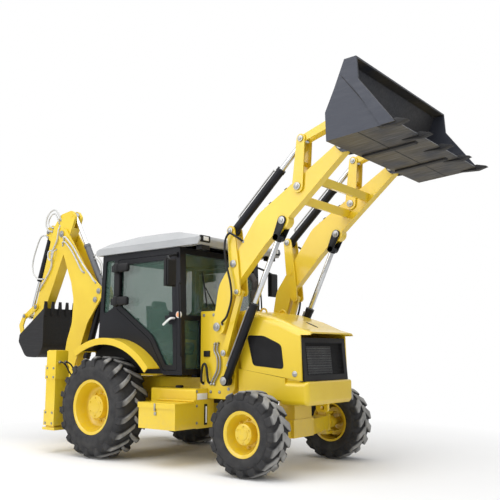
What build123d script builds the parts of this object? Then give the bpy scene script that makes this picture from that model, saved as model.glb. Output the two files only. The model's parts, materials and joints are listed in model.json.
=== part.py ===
from build123d import *
import math
import os

# Backhoe loader in its parked pose: loader raised, backhoe folded. Sizes in mm.
# X runs forward from the rear axle, Y to the machine's left, Z up from the ground.

# Wheels and running gear
REAR_AXLE_X = -783.5
WHEELBASE = 2400
FRONT_TYRE_R = 460
FRONT_TYRE_W = 350
FRONT_RIM_R = 245
FRONT_WHEEL_Y = 895
REAR_TYRE_R = 640
REAR_TYRE_W = 480
REAR_RIM_R = 342
REAR_WHEEL_Y = 910
KINGPIN_Y = 690
KINGPIN_R = 25
FRONT_LUG_H = 28
REAR_LUG_H = 40
FRONT_LUGS = 18
REAR_LUGS = 18

# Fits
RUN_FIT = 0.3
SEAT_GAP = 0.3
CLEAR = 8

# Chassis
RAIL_IN = 340
RAIL_OUT = 420
RAIL_LOW = 780
RAIL_TOP = 1020
RAIL_FRONT = WHEELBASE + 160
CROSS_H = 70
TOWER_OUT = 530
TOWER_TOP = 1838
TOWER_REAR = 1350
NOSE_HALF = 500
NOSE_FRONT = WHEELBASE + 505
NOSE_LOW = 745
NOSE_TOP = 1012

# Loader: pins as (x, z) in the raised pose
ARM_Y = 595
ARM_HALF = 55
ARM_PIVOT = (1724, 1635)
ARM_TIP = (3478, 3562)
LEVER_PIN = (1988, 2377)
LEVER_TOP = (1941, 2782)
LEVER_FOOT = (2040, 2040)
LINK_BASE = (1800, 1325)
LIFT_BASE = (1818, 1000)
LIFT_TOP = (2685, 2824)
FRONT_LEVER_PIN = (2910, 3187)
FRONT_LEVER_TOP = (2962, 3733)
BUCKET_LINK_PIN = (3480, 3895)
PIN_R = 32
LEVER_T = 18
LEVER_GAP = 7
BUCKET_HALF = 1120
BUCKET_SHEET = 22
TOOTH_REACH = 120

# Hood and cowl
HOOD_REAR = 1975
HOOD_RUN = 930
HOOD_HALF = 500
HOOD_SHEET = 18
HOOD_ROUND = 80
HOOD_PIN = (1968, 1852)
HOOD_PIN_R = 8
COWL_REAR = 1310
COWL_HALF = 412

# Cab
CAB_HALF = 800
CAB_WALL = 60
CAB_FLOOR = 1100
CAB_SILL = 1060
CAB_TOP = 2640
CAB_FRONT_LOW = 1290
CAB_FRONT_TOP = 1228
CAB_REAR_LOW = -290
CAB_REAR_TOP = -215
ROOF_TOP = 2860
GLASS_T = 8
DOOR_T = 50
DOOR_GAP = 6
WELL_Y = 620
FENDER_OUT = 1000
FENDER_CENTRE = (60, 390)
FENDER_R = 1130
FENDER_T = 20

# Tanks and toolbox
TANK_REAR = 720
TANK_FRONT = 1475
TANK_OUT = 750
TANK_LOW = 433
TANK_TOP = 900
BOX_REAR = 870
BOX_OUT = 1100
BOX_TOP = 730
LID_T = 15

# Backhoe: pins as (x, z) in the folded pose, all in the plane HOE_Y
HOE_Y = -150
SWING_X = -1320
BOOM_FOOT = (-1700, 680)
BOOM_CYL_BASE = (-1400, 1000)
BOOM_CYL_TOP = (-1010, 2110)
STICK_CYL_BASE = (-935, 2235)
STICK_PIN = (-1870, 3190)
STICK_TAIL = (-1690, 3480)
HOE_CYL_BASE = (-2290, 3270)
ROCKER_PIN = (-2500, 2060)
ROCKER_END = (-2764, 1918)
HOE_PIN = (-2530, 1740)
HOE_EAR = (-2794, 1598)
PLATE_IN = 88
PLATE_T = 25
STICK_HALF = 80
HOE_HALF = 300

# Stabilisers and rear frame
LEG_Y = 1020
LEG_X = -850
SLEEVE = 200
SLEEVE_WALL = 14
LEG = SLEEVE - 2 * SLEEVE_WALL - 2 * SEAT_GAP
SLEEVE_LOW = 360
SLEEVE_TOP = 1350
FOOT_LOW = 300
BEAM_TOP = 980
BEAM_LOW = 420
BEAM_H = 120


def hood_x(run):
    """A place on the hood, kept at its share of the way from the hood's rear to the nose's front."""
    return HOOD_REAR + run * (NOSE_FRONT - HOOD_REAR) / HOOD_RUN


def hood_run(x):
    """The run on the hood that a place along the machine falls on."""
    return (x - HOOD_REAR) * HOOD_RUN / (NOSE_FRONT - HOOD_REAR)


def seam_z(run):
    """Height of the line where the hood meets the skirts, at a place on the hood."""
    return 1131 - (run - 86) * 110 / 753


def profile(corners):
    """Face in XZ from corners given as (x, z) or (x, z, corner radius)."""
    points = [corner[:2] for corner in corners]
    radii = [corner[2] if len(corner) > 2 else 0 for corner in corners]
    if not any(radii):
        return Plane.XZ * Polygon(*points, align=None)
    return Plane.XZ * make_face(FilletPolyline(*points, radius=radii, close=True))


def slab(corners, low, high):
    """An XZ outline thickened from y = low to y = high."""
    return Pos(0, low, 0) * extrude(profile(corners), amount=high - low, dir=(0, 1, 0))


def box(x0, x1, y0, y1, z0, z1):
    """A box from its limits."""
    return Pos((x0 + x1) / 2, (y0 + y1) / 2, (z0 + z1) / 2) * Box(x1 - x0, y1 - y0, z1 - z0)


def pin(at, low, high, radius):
    """A round bar along Y."""
    return Pos(at[0], (low + high) / 2, at[1]) * Rot(90, 0, 0) * Cylinder(radius, high - low)


def post(x, y, low, high, radius):
    """A round bar along Z."""
    return Pos(x, y, (low + high) / 2) * Cylinder(radius, high - low)


def bar(start, end, y, radius):
    """A round bar between two XZ points in the plane y."""
    return strut((start[0], y, start[1]), (end[0], y, end[1]), radius)


def strut(start, end, radius):
    """A round bar between two points in space."""
    axis = Vector(*end) - Vector(*start)
    place = Plane(origin=start, z_dir=axis)
    return place * Cylinder(radius, axis.length, align=(Align.CENTER, Align.CENTER, Align.MIN))


def along(start, end, distance):
    """The XZ point that lies a distance from start towards end."""
    run = math.dist(start, end)
    share = distance / run
    return (start[0] + (end[0] - start[0]) * share, start[1] + (end[1] - start[1]) * share)


def strap(start, end, low, high, r_start, r_end):
    """A flat link with round ends of two radii."""
    angle = math.atan2(end[1] - start[1], end[0] - start[0])
    lean = math.acos((r_start - r_end) / math.dist(start, end))
    corners = []
    ends = ((start, r_start, 1), (start, r_start, -1), (end, r_end, -1), (end, r_end, 1))
    for centre, radius, side in ends:
        turn = angle + side * lean
        corners.append((centre[0] + radius * math.cos(turn), centre[1] + radius * math.sin(turn)))
    return slab(corners, low, high) + pin(start, low, high, r_start) + pin(end, low, high, r_end)


def mirrored(shape):
    """The same shape on the machine's other side."""
    return mirror(shape, about=Plane.XZ)


def pair(shape):
    """The shape and its mirror image."""
    return shape + mirrored(shape)


def ring(section):
    """A round body about the Y axis from a (y, radius) outline."""
    return revolve(Plane.YZ * Polygon(*section, align=None), axis=Axis.Y)


def barrel(base, tip, y, length, radius, bore, eye_r, eye_half, hole_r):
    """Cylinder barrel: eye at base, bore open at its far end."""
    tube = bar(along(base, tip, eye_r * 0.6), along(base, tip, length), y, radius)
    gland = bar(along(base, tip, length - 45), along(base, tip, length), y, radius + 5)
    body = tube + gland + pin(base, y - eye_half, y + eye_half, eye_r)
    body -= bar(along(base, tip, eye_r + 30), along(base, tip, length + 1), y, bore + RUN_FIT)
    return body - pin(base, y - eye_half - 1, y + eye_half + 1, hole_r)


def rod(base, tip, y, inside, radius, eye_r, eye_half, hole_r):
    """Cylinder rod: from a distance inside the barrel to the eye at tip."""
    shaft = bar(along(base, tip, inside), along(tip, base, eye_r * 0.6), y, radius)
    eye = pin(tip, y - eye_half, y + eye_half, eye_r)
    return shaft + eye - pin(tip, y - eye_half - 1, y + eye_half + 1, hole_r)


# Wheels

def tyre(radius, width, rim_r, lug_h, lugs):
    """Tyre with chevron lugs, centred on the origin, its axle along Y."""
    half = width / 2
    carcass = radius - lug_h
    seat = rim_r - 22 + SEAT_GAP
    bead = half - 42
    side = (rim_r + carcass) / 2
    section = [
        (-bead, seat), (bead, seat), (bead + 12, rim_r + 12), (half, side),
        (half - 18, carcass - 30), (half - 60, carcass), (-half + 60, carcass),
        (-half + 18, carcass - 30), (-half, side), (-bead - 12, rim_r + 12),
    ]
    body = ring(section)
    reach = half - 6
    thick = radius * 0.045
    deep = carcass - lug_h * 1.2
    sweep = radius * 0.30
    lug = None
    for hand in (1, -1):
        corners = [
            (-thick, -12 * hand), (thick, -12 * hand),
            (sweep + thick, reach * hand), (sweep - thick, reach * hand),
        ]
        blade = extrude(Pos(0, 0, deep) * Polygon(*corners, align=None), amount=radius - deep)
        blade = blade.rotate(Axis.Y, 180 / lugs if hand > 0 else 0)
        lug = blade if lug is None else lug + blade
    drum = Rot(90, 0, 0) * Cylinder(radius, width)
    lug = lug & drum
    for index in range(lugs):
        body += lug.rotate(Axis.Y, 360 / lugs * index)
    return body


def rim(radius, width, disc_y, hub_r, hub_in, hub_out, bore):
    """Wheel rim with dished disc and hub for the machine's left side."""
    half = width / 2
    edge = half - 46
    seat = radius - 22
    section = [
        (-edge, seat), (-edge, seat - 14), (disc_y - 60, seat - 14), (disc_y - 20, seat - 40),
        (disc_y - 16, hub_r), (hub_in, hub_r), (hub_in, bore), (hub_out - 40, bore),
        (hub_out - 40, 0), (hub_out, 0), (hub_out, hub_r * 0.62), (disc_y + 30, hub_r * 0.8),
        (disc_y + 30, hub_r), (disc_y, hub_r), (disc_y - 4, seat - 40), (disc_y + 20, seat - 16),
        (edge, seat - 14), (edge, seat),
    ]
    return ring(section)


def front_tyre(side):
    """Front tyre of one side, 1 for left."""
    body = tyre(FRONT_TYRE_R, FRONT_TYRE_W, FRONT_RIM_R, FRONT_LUG_H, FRONT_LUGS)
    body = Pos(WHEELBASE, FRONT_WHEEL_Y, FRONT_TYRE_R) * body
    return body if side > 0 else mirrored(body)


def rear_tyre(side):
    """Rear tyre of one side, 1 for left."""
    body = tyre(REAR_TYRE_R, REAR_TYRE_W, REAR_RIM_R, REAR_LUG_H, REAR_LUGS)
    body = Pos(0, REAR_WHEEL_Y, REAR_TYRE_R) * body
    return body if side > 0 else mirrored(body)


FRONT_HUB_R = 95
FRONT_STUB_R = 45
REAR_HUB_R = 130
REAR_STUB_R = 60


def front_rim(side):
    """Front rim of one side."""
    hub_in = 815 - FRONT_WHEEL_Y
    body = rim(FRONT_RIM_R, FRONT_TYRE_W, 70, FRONT_HUB_R, hub_in, 150, FRONT_STUB_R + RUN_FIT)
    body = Pos(WHEELBASE, FRONT_WHEEL_Y, FRONT_TYRE_R) * body
    return body if side > 0 else mirrored(body)


def rear_rim(side):
    """Rear rim of one side."""
    hub_in = 670 - REAR_WHEEL_Y
    body = rim(REAR_RIM_R, REAR_TYRE_W, 90, REAR_HUB_R, hub_in, 170, REAR_STUB_R + RUN_FIT)
    body = Pos(0, REAR_WHEEL_Y, REAR_TYRE_R) * body
    return body if side > 0 else mirrored(body)


def knuckle(side):
    """Steering knuckle with its kingpin and stub axle."""
    z = FRONT_TYRE_R
    body = post(WHEELBASE, KINGPIN_Y, z - 100, z + 100, 58)
    body += post(WHEELBASE, KINGPIN_Y, z - 150, z + 150, KINGPIN_R)
    body += pin((WHEELBASE, z), KINGPIN_Y, 805, 80)
    body += pin((WHEELBASE, z), KINGPIN_Y, FRONT_WHEEL_Y + 100, FRONT_STUB_R)
    return body if side > 0 else mirrored(body)


def axles():
    """Front beam with its yokes, and the rear axle with its pads."""
    z = FRONT_TYRE_R
    x = WHEELBASE
    beam = [
        (0, z - 110), (230, z - 112), (420, z - 92), (612, z - 60), (612, z + 92), (430, z + 80),
        (0, z + 70),
    ]
    front = Pos(x - 85, 0, 0) * extrude(Plane.YZ * Polygon(*beam, align=None), amount=170, dir=(1, 0, 0))
    front += box(x - 120, x + 120, 0, 210, z - 110, z + 99)
    yoke = box(x - 62, x + 62, 590, KINGPIN_Y + 62, z + 106, z + 140)
    yoke += box(x - 62, x + 62, 590, KINGPIN_Y + 62, z - 140, z - 106)
    yoke += box(x - 62, x + 62, 590, 622, z - 140, z + 140)
    yoke -= post(x, KINGPIN_Y, z - 200, z + 200, KINGPIN_R + RUN_FIT)
    front = pair(front + yoke)
    z = REAR_TYRE_R
    rear = pin((0, z), -655, 655, 105)
    rear += pin((0, z), -190, 190, 185)
    half = pin((0, z), 630, 662, 165)
    half += pin((0, z), 600, REAR_WHEEL_Y + 120, REAR_STUB_R)
    half += box(-85, 85, RAIL_IN, RAIL_OUT, z, RAIL_LOW - SEAT_GAP)
    return front + rear + pair(half)


# Chassis

def chassis_frame():
    """Rails, cross members, loader towers and the rear frame, welded up."""
    body = pair(box(LEG_X + SLEEVE / 2, RAIL_FRONT - SEAT_GAP, RAIL_IN, RAIL_OUT, RAIL_LOW, RAIL_TOP))
    for x0, x1 in ((250, 330), (1400, 1480)):
        body += box(x0, x1, -RAIL_IN, RAIL_IN, RAIL_TOP - CROSS_H, RAIL_TOP)
    saddle_low = FRONT_TYRE_R + 99 + SEAT_GAP
    body += box(WHEELBASE - 110, WHEELBASE + 110, -RAIL_IN, RAIL_IN, RAIL_LOW, RAIL_LOW + CROSS_H)
    body += box(WHEELBASE - 110, WHEELBASE + 110, -180, 180, saddle_low, RAIL_LOW)
    tower = slab(
        [
            (TOWER_REAR, RAIL_LOW), (TOWER_REAR, TOWER_TOP), (1620, TOWER_TOP, 60), (1815, 1725, 60),
            (1868, 1500, 60), (1895, 1000), (1895, 900, 60), (1760, RAIL_LOW),
        ],
        RAIL_OUT, TOWER_OUT,
    )
    tower += pin(ARM_PIVOT, TOWER_OUT, ARM_Y + ARM_HALF + 18, 40)
    tower += pin(ARM_PIVOT, TOWER_OUT - 20, ARM_Y - ARM_HALF - 1, 70)
    tower += pin(LINK_BASE, TOWER_OUT - 20, ARM_Y - 26, 45)
    tower += pin(LINK_BASE, TOWER_OUT, ARM_Y + 40, 26)
    tower += pin(LIFT_BASE, TOWER_OUT - 20, ARM_Y - 54, 55)
    tower += pin(LIFT_BASE, TOWER_OUT, ARM_Y + 58, PIN_R)
    body += pair(tower)
    body += rear_frame()
    return body


def rear_frame():
    """Cross beams that carry the carriage, and the stabiliser sleeves."""
    x0 = LEG_X - SLEEVE / 2
    x1 = LEG_X + SLEEVE / 2
    inner = LEG_Y - SLEEVE / 2
    body = box(x0, x1 - 40, -inner, inner, BEAM_TOP - BEAM_H, BEAM_TOP)
    body += box(x0, x1 - 40, -inner, inner, BEAM_LOW, BEAM_LOW + BEAM_H)
    side = box(x0 + 70, x1 + 260, RAIL_IN, RAIL_OUT, BEAM_LOW, RAIL_TOP)
    side -= pin((0, REAR_TYRE_R), 0, 2 * RAIL_OUT, 330)
    sleeve = box(x0, x1, inner, LEG_Y + SLEEVE / 2, SLEEVE_LOW, SLEEVE_TOP)
    for low, high in ((SLEEVE_TOP - 380, SLEEVE_TOP - 197), (SLEEVE_LOW, SLEEVE_LOW + 200)):
        sleeve += box(x0 - 12, x1 + 12, inner - 12, LEG_Y + SLEEVE / 2 + 10, low, high)
    hollow = SLEEVE / 2 - SLEEVE_WALL
    sleeve -= box(
        LEG_X - hollow, LEG_X + hollow, LEG_Y - hollow, LEG_Y + hollow, SLEEVE_LOW - 1, SLEEVE_TOP - 20
    )
    return body + pair(side + sleeve)


def stabiliser(side):
    """Sliding leg with its foot."""
    half = LEG / 2
    body = box(LEG_X - half, LEG_X + half, LEG_Y - half, LEG_Y + half, FOOT_LOW + 30, SLEEVE_TOP - 60)
    body += box(LEG_X - 130, LEG_X + 130, LEG_Y - 110, LEG_Y + 110, FOOT_LOW, FOOT_LOW + 34)
    return body if side > 0 else mirrored(body)


def engine_block():
    """Engine and gearbox as one plain block."""
    body = box(1500, RAIL_FRONT - 30, -300, 300, RAIL_LOW + CROSS_H + SEAT_GAP, 1480)
    return body + box(360, 1500, -240, 240, 700, RAIL_TOP - CROSS_H - SEAT_GAP)


def nose():
    """Front counterweight with the skirts below the hood."""
    weight = slab(
        [
            (RAIL_FRONT - 20, NOSE_LOW), (NOSE_FRONT - 30, NOSE_LOW, 20), (NOSE_FRONT, 790, 30),
            (NOSE_FRONT, NOSE_TOP, 20), (RAIL_FRONT - 20, NOSE_TOP),
        ],
        -NOSE_HALF, NOSE_HALF,
    )
    weight -= box(RAIL_FRONT - 60, RAIL_FRONT, -RAIL_OUT - 20, RAIL_OUT + 20, 700, 1100)
    weight = fillet(weight.edges().filter_by(Axis.Z).group_by(Axis.X)[-1], 55)
    rear, front = hood_x(-45), RAIL_FRONT + 40
    skirt = slab(
        [(rear, 800), (rear, seam_z(-45) - CLEAR), (front, seam_z(hood_run(front)) - CLEAR), (front, 800)],
        NOSE_HALF - 30, NOSE_HALF,
    )
    for x in (hood_x(-15), hood_x(325)):
        skirt += box(x, x + 30, RAIL_OUT + SEAT_GAP, NOSE_HALF - 10, 800, 1000)
    body = weight + pair(skirt)
    lug_rear, lug_front = NOSE_FRONT - 205, NOSE_FRONT - 45
    lug = slab([(lug_rear, 655, 30), (lug_front, 655, 30), (lug_front, 760), (lug_rear, 760)], -20, 20)
    return body + lug - pin((NOSE_FRONT - 115, 698), -40, 40, 26)


def grille_x(z, depth):
    """Front face of the grille at a height, set back by depth."""
    return NOSE_FRONT - 53 - (z - 1020) * 52 / 546 - depth


def grille():
    """Radiator grille: a frame round a recessed panel."""
    low = NOSE_TOP + SEAT_GAP
    high = 1500
    half = HOOD_HALF - HOOD_SHEET - CLEAR
    body = slab(
        [
            (grille_x(low, 70), low), (grille_x(low, 0), low),
            (grille_x(high, 0), high), (grille_x(high, 70), high),
        ],
        -half, half,
    )
    body -= slab(
        [
            (grille_x(low + 60, 45), low + 60), (grille_x(low + 60, -40), low + 60),
            (grille_x(high - 50, -40), high - 50), (grille_x(high - 50, 45), high - 50),
        ],
        -half + 70, half - 70,
    )
    return body


HOOD_LINE = [
    (HOOD_REAR, TOWER_TOP), (hood_x(225), 1802), (hood_x(565), 1703), (hood_x(815), 1600), (hood_x(955), 1563),
]


def hood_shell(drop, half, round_r):
    """Solid under the hood line, lowered by drop, with rounded shoulders."""
    corners = [(x, z - drop) for x, z in HOOD_LINE]
    corners += [(hood_x(955), 1000), (HOOD_REAR, 1000)]
    body = slab(corners, -half, half)
    top = [
        edge for edge in body.edges()
        if abs(abs(edge.center().Y) - half) < 1 and edge.center().Z > 1500 and edge.length > 40
        and abs(edge.tangent_at(0.5).Z) < 0.9
    ]
    return fillet(top, round_r)


VENT = [
    (hood_x(87), 1530, 30), (hood_x(325), 1522, 60), (hood_x(573), 1418, 40), (hood_x(607), 1150, 30),
    (hood_x(175), 1185, 60),
]


def hood():
    """Engine hood: a shell with side openings, hinged at its rear."""
    body = hood_shell(0, HOOD_HALF, HOOD_ROUND)
    body -= hood_shell(HOOD_SHEET, HOOD_HALF - HOOD_SHEET, HOOD_ROUND - HOOD_SHEET)
    rear = hood_x(-50)
    body -= slab(
        [
            (rear, 900), (rear, seam_z(0)), (hood_x(855), seam_z(855)), (hood_x(837), 1528),
            (NOSE_FRONT + 95, 1528), (NOSE_FRONT + 95, 900),
        ],
        -HOOD_HALF - 10, HOOD_HALF + 10,
    )
    body -= slab(VENT, HOOD_HALF - 60, HOOD_HALF + 10)
    body -= slab(VENT, -HOOD_HALF - 10, -HOOD_HALF + 60)
    for y in (-200, 200):
        z = TOWER_TOP - 22
        grip = Pos(HOOD_REAR + 105, y, z) * Rot(90, 0, 0) * Torus(46, 11)
        body += grip - box(HOOD_REAR + 25, HOOD_REAR + 185, y - 60, y + 60, z - 80, z - 6)
    for y in (-300, 300):
        for side in (-1, 1):
            low = min(y + side * 17, y + side * 37)
            leaf = pin(HOOD_PIN, low, low + 20, 14)
            leaf += box(HOOD_PIN[0], HOOD_REAR + 40, low, low + 20, TOWER_TOP - 14, HOOD_PIN[1] + 14)
            body += leaf - pin(HOOD_PIN, low - 1, low + 21, HOOD_PIN_R + RUN_FIT)
    return body


def hood_vents():
    """Mesh panels that close the hood's side openings."""
    corners = [(x, z, r) for x, z, r in VENT]
    face = offset(profile(corners), amount=-SEAT_GAP)
    panel = Pos(0, HOOD_HALF - HOOD_SHEET + 2, 0) * extrude(face, amount=8, dir=(0, 1, 0))
    return pair(panel)


def cowl():
    """Fixed cowl between the towers."""
    front = HOOD_REAR - 15
    body = box(COWL_REAR, front, -COWL_HALF, COWL_HALF, RAIL_TOP + SEAT_GAP, TOWER_TOP)
    body = fillet(body.edges().filter_by(Axis.X).group_by(Axis.Z)[-1], 60)
    body -= box(COWL_REAR + 15, front + 1, -COWL_HALF + 15, COWL_HALF - 15, RAIL_TOP - 1, TOWER_TOP - 15)
    for y in (-300, 300):
        body += pin(HOOD_PIN, y - 15, y + 15, 14) + pin(HOOD_PIN, y - 38, y + 38, HOOD_PIN_R)
        body += box(front - 50, HOOD_PIN[0], y - 15, y + 15, TOWER_TOP - 8, HOOD_PIN[1] + 14)
    return body


EXHAUST = (1790, 0)


def exhaust():
    """Exhaust stack with its bent tip."""
    x, y = EXHAUST
    low = TOWER_TOP + SEAT_GAP
    body = post(x, y, low, low + 30, 75) + post(x, y, low, 2220, 38)
    body += strut((x, y, 2220), (x - 60, y, 2320), 38)
    body += Pos(x, y, 2220) * Sphere(38)
    return body


# Loader

ARM_OUTLINE = [
    (1632, 1548, 80), (1741, 2130, 300), (2322, 2928, 350), (3508, 3648, 55),
    (3532, 3508, 55), (2440, 2570, 400), (1990, 2100, 80), (1806, 1548, 80),
]


def loader_arms():
    """Both lift arms with their cross members and pin stubs."""
    low = ARM_Y - ARM_HALF
    high = ARM_Y + ARM_HALF
    arm = slab(ARM_OUTLINE, low, high)
    arm += pin(LIFT_TOP, low, high, 88)
    arm -= pin(ARM_PIVOT, low - 1, high + 1, 40 + RUN_FIT)
    arm -= pin(ARM_TIP, low - 1, high + 1, PIN_R + RUN_FIT)
    plate_out = ARM_HALF + LEVER_GAP + LEVER_T + 8
    for at in (LEVER_PIN, FRONT_LEVER_PIN):
        arm += pin(at, ARM_Y - plate_out, ARM_Y + plate_out, PIN_R)
    arm = pair(arm)
    for at in ((3115, 3270), (2840, 3095)):
        beam = slab(
            [
                (at[0] - 70, at[1] - 50), (at[0] + 20, at[1] - 75),
                (at[0] + 60, at[1] + 10), (at[0] - 30, at[1] + 50),
            ],
            -low - 5, low + 5,
        )
        arm += beam
    return arm


def plates(shape_at):
    """The inner and outer plate of a lever that straddles the arm."""
    inner = ARM_Y - ARM_HALF - LEVER_GAP - LEVER_T
    outer = ARM_Y + ARM_HALF + LEVER_GAP
    return shape_at(inner, inner + LEVER_T) + shape_at(outer, outer + LEVER_T)


def pin_heads(at, radius, proud):
    """Heads of a pin, set in a lever's two plates and standing proud of them."""
    near = ARM_HALF + LEVER_GAP
    far = near + LEVER_T + proud
    return pin(at, ARM_Y + near, ARM_Y + far, radius) + pin(at, ARM_Y - far, ARM_Y - near, radius)


def eye_pin(at, radius):
    """The pin held by an eye that stands between a lever's plates."""
    reach = ARM_HALF + LEVER_GAP - 2
    return pin(at, ARM_Y - reach, ARM_Y + reach, radius)


def levelling_levers():
    """Rear levers that carry the tilt cylinders."""
    def plate(low, high):
        upper = strap(LEVER_PIN, LEVER_TOP, low, high, 70, 58)
        lower = strap(LEVER_PIN, LEVER_FOOT, low, high, 70, 48)
        return upper + lower
    body = plates(plate)
    body += pin_heads(LEVER_FOOT, 24, 6) + pin_heads(LEVER_TOP, 34, 12)
    body -= pin(LEVER_PIN, ARM_Y - 200, ARM_Y + 200, PIN_R + RUN_FIT)
    return pair(body)


def levelling_links():
    """Links from the towers to the rear levers."""
    body = strap(LINK_BASE, LEVER_FOOT, ARM_Y - 22, ARM_Y + 22, 42, 34) + eye_pin(LEVER_FOOT, 24)
    return pair(body - pin(LINK_BASE, ARM_Y - 60, ARM_Y + 60, 26 + RUN_FIT))


TILT_BARREL = 965
TILT_BORE = 34
TILT_ROD_IN = 455
FRONT_PIN_R = 26


def tilt_barrels():
    """Tilt cylinder barrels."""
    body = barrel(LEVER_TOP, FRONT_LEVER_TOP, ARM_Y, TILT_BARREL, 50, TILT_BORE, 52, 46, 10)
    return pair(body + eye_pin(LEVER_TOP, 28))


def tilt_pistons():
    """Pistons inside the tilt barrels."""
    start = along(LEVER_TOP, FRONT_LEVER_TOP, 84)
    end = along(LEVER_TOP, FRONT_LEVER_TOP, 99)
    return pair(bar(start, end, ARM_Y, TILT_BORE))


def tilt_rods():
    """Tilt cylinder rods."""
    hole = FRONT_PIN_R + RUN_FIT
    return pair(rod(LEVER_TOP, FRONT_LEVER_TOP, ARM_Y, TILT_ROD_IN, TILT_BORE, 50, 34, hole))


def bucket_levers():
    """Front levers, each of two plates with a spacer."""
    def plate(low, high):
        return strap(FRONT_LEVER_PIN, FRONT_LEVER_TOP, low, high, 72, 55)
    body = plates(plate)
    reach = ARM_HALF + LEVER_GAP + LEVER_T
    mid = along(FRONT_LEVER_PIN, FRONT_LEVER_TOP, 275)
    body += pin(mid, ARM_Y - reach, ARM_Y + reach, 26)
    body += pin(FRONT_LEVER_TOP, ARM_Y - reach - 8, ARM_Y + reach + 8, FRONT_PIN_R)
    body -= pin(FRONT_LEVER_PIN, ARM_Y - 200, ARM_Y + 200, PIN_R + RUN_FIT)
    return pair(body)


def bucket_links():
    """Links from the front levers to the loader bucket."""
    half = ARM_HALF + 3
    body = strap(FRONT_LEVER_TOP, BUCKET_LINK_PIN, ARM_Y - half, ARM_Y + half, 40, 48)
    body -= pin(FRONT_LEVER_TOP, ARM_Y - 38, ARM_Y + 38, 150)
    body -= pin(FRONT_LEVER_TOP, ARM_Y - 60, ARM_Y + 60, FRONT_PIN_R + RUN_FIT)
    return pair(body + eye_pin(BUCKET_LINK_PIN, 30))


LIFT_BARREL = 990
LIFT_ROD_R = 32
LIFT_ROD_IN = 920
LIFT_FORK = 205
LIFT_FORK_T = 16


def lift_barrels():
    """Lift cylinder barrels."""
    return pair(barrel(LIFT_BASE, LIFT_TOP, ARM_Y, LIFT_BARREL, 50, LIFT_ROD_R, 60, 44, PIN_R + RUN_FIT))


def lift_rods():
    """Lift cylinder rods, each ending in a fork that straddles the arm."""
    inner = ARM_HALF + 3
    outer = inner + LIFT_FORK_T
    root = along(LIFT_TOP, LIFT_BASE, LIFT_FORK)
    body = bar(along(LIFT_BASE, LIFT_TOP, LIFT_ROD_IN), root, ARM_Y, LIFT_ROD_R)
    body += pin(root, ARM_Y - outer, ARM_Y + outer, 40)
    for low, high in ((inner, outer), (-outer, -inner)):
        body += strap(LIFT_TOP, root, ARM_Y + low, ARM_Y + high, 54, 40)
    for low, high in ((outer - 1, outer + 10), (-outer - 10, -outer + 1)):
        body += pin(LIFT_TOP, ARM_Y + low, ARM_Y + high, 34)
    return pair(body)


HEEL = (3571, 3473)
EDGE = (4343, 3528)
BUCKET_BACK = [(3800, 4298), (3674, 4008), (3563, 3780)]
BUCKET_LIP = (3940, 4301)
BUCKET_NOTCH = (3956, 4054)


def loader_bucket():
    """Loader bucket with side plates, teeth, wear bars and pin ears."""
    side = [HEEL, EDGE, BUCKET_NOTCH, BUCKET_LIP] + BUCKET_BACK
    far_x = EDGE[0] + 300
    cavity = [HEEL, (far_x, EDGE[1] + 21), (far_x, BUCKET_LIP[1] + 15)] + BUCKET_BACK
    inner = offset(profile(cavity), amount=-BUCKET_SHEET)
    body = slab(side, -BUCKET_HALF, BUCKET_HALF)
    inset = BUCKET_HALF - BUCKET_SHEET
    body -= Pos(0, -inset, 0) * extrude(inner, amount=2 * inset, dir=(0, 1, 0))
    tooth = [
        (EDGE[0] - 190, EDGE[1] - 13), (EDGE[0] + 10, EDGE[1] - 26), (EDGE[0] + TOOTH_REACH, EDGE[1] + 2),
        (EDGE[0] + 10, EDGE[1] + 34), (EDGE[0] - 60, EDGE[1] + 30),
    ]
    for index in range(-2, 3):
        y = index * (BUCKET_HALF - 45) / 2
        body += slab(tooth, y - 38, y + 38)
    for y in (-400, 400):
        body += slab(
            [
                (HEEL[0] + 40, HEEL[1] + 10), (HEEL[0] + 40, HEEL[1] - 18),
                (EDGE[0] - 120, EDGE[1] - 26), (EDGE[0] - 100, EDGE[1]),
            ],
            y - 35, y + 35,
        )
    for hand in (1, -1):
        edge = slab(
            [
                EDGE, (EDGE[0] - 150, EDGE[1] - 10),
                (BUCKET_NOTCH[0] - 85, BUCKET_NOTCH[1] - 30), BUCKET_NOTCH,
            ],
            min(hand * (BUCKET_HALF - 1), hand * (BUCKET_HALF + 12)),
            max(hand * (BUCKET_HALF - 1), hand * (BUCKET_HALF + 12)),
        )
        body += edge
    def ear(low, high):
        return slab(
            [
                (3600, 3480), (3480, 3482, 50), (3410, 3560, 50), (3415, 3930, 50), (3480, 3962, 50),
                (3690, 4010), (3640, 3800),
            ],
            low, high,
        )
    ears = plates(ear)
    reach = ARM_HALF + LEVER_GAP + LEVER_T
    ears += pin(ARM_TIP, ARM_Y - reach - 8, ARM_Y + reach + 8, PIN_R)
    for low, high in ((-reach - 8, -reach + 1), (reach - 1, reach + 8)):
        ears += pin(BUCKET_LINK_PIN, ARM_Y + low, ARM_Y + high, 30)
    return body + pair(ears)


# Cab

def cab_x(front, z):
    """X of the cab's front or rear face at a height."""
    share = (z - CAB_SILL) / (CAB_TOP - CAB_SILL)
    if front:
        return CAB_FRONT_LOW + (CAB_FRONT_TOP - CAB_FRONT_LOW) * share
    return CAB_REAR_LOW + (CAB_REAR_TOP - CAB_REAR_LOW) * share


def off_fender(degrees, away, corner):
    """A corner that stands away from the fender's arc at an angle."""
    turn = math.radians(degrees)
    reach = FENDER_R + away
    return (FENDER_CENTRE[0] + reach * math.cos(turn), FENDER_CENTRE[1] + reach * math.sin(turn), corner)


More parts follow.
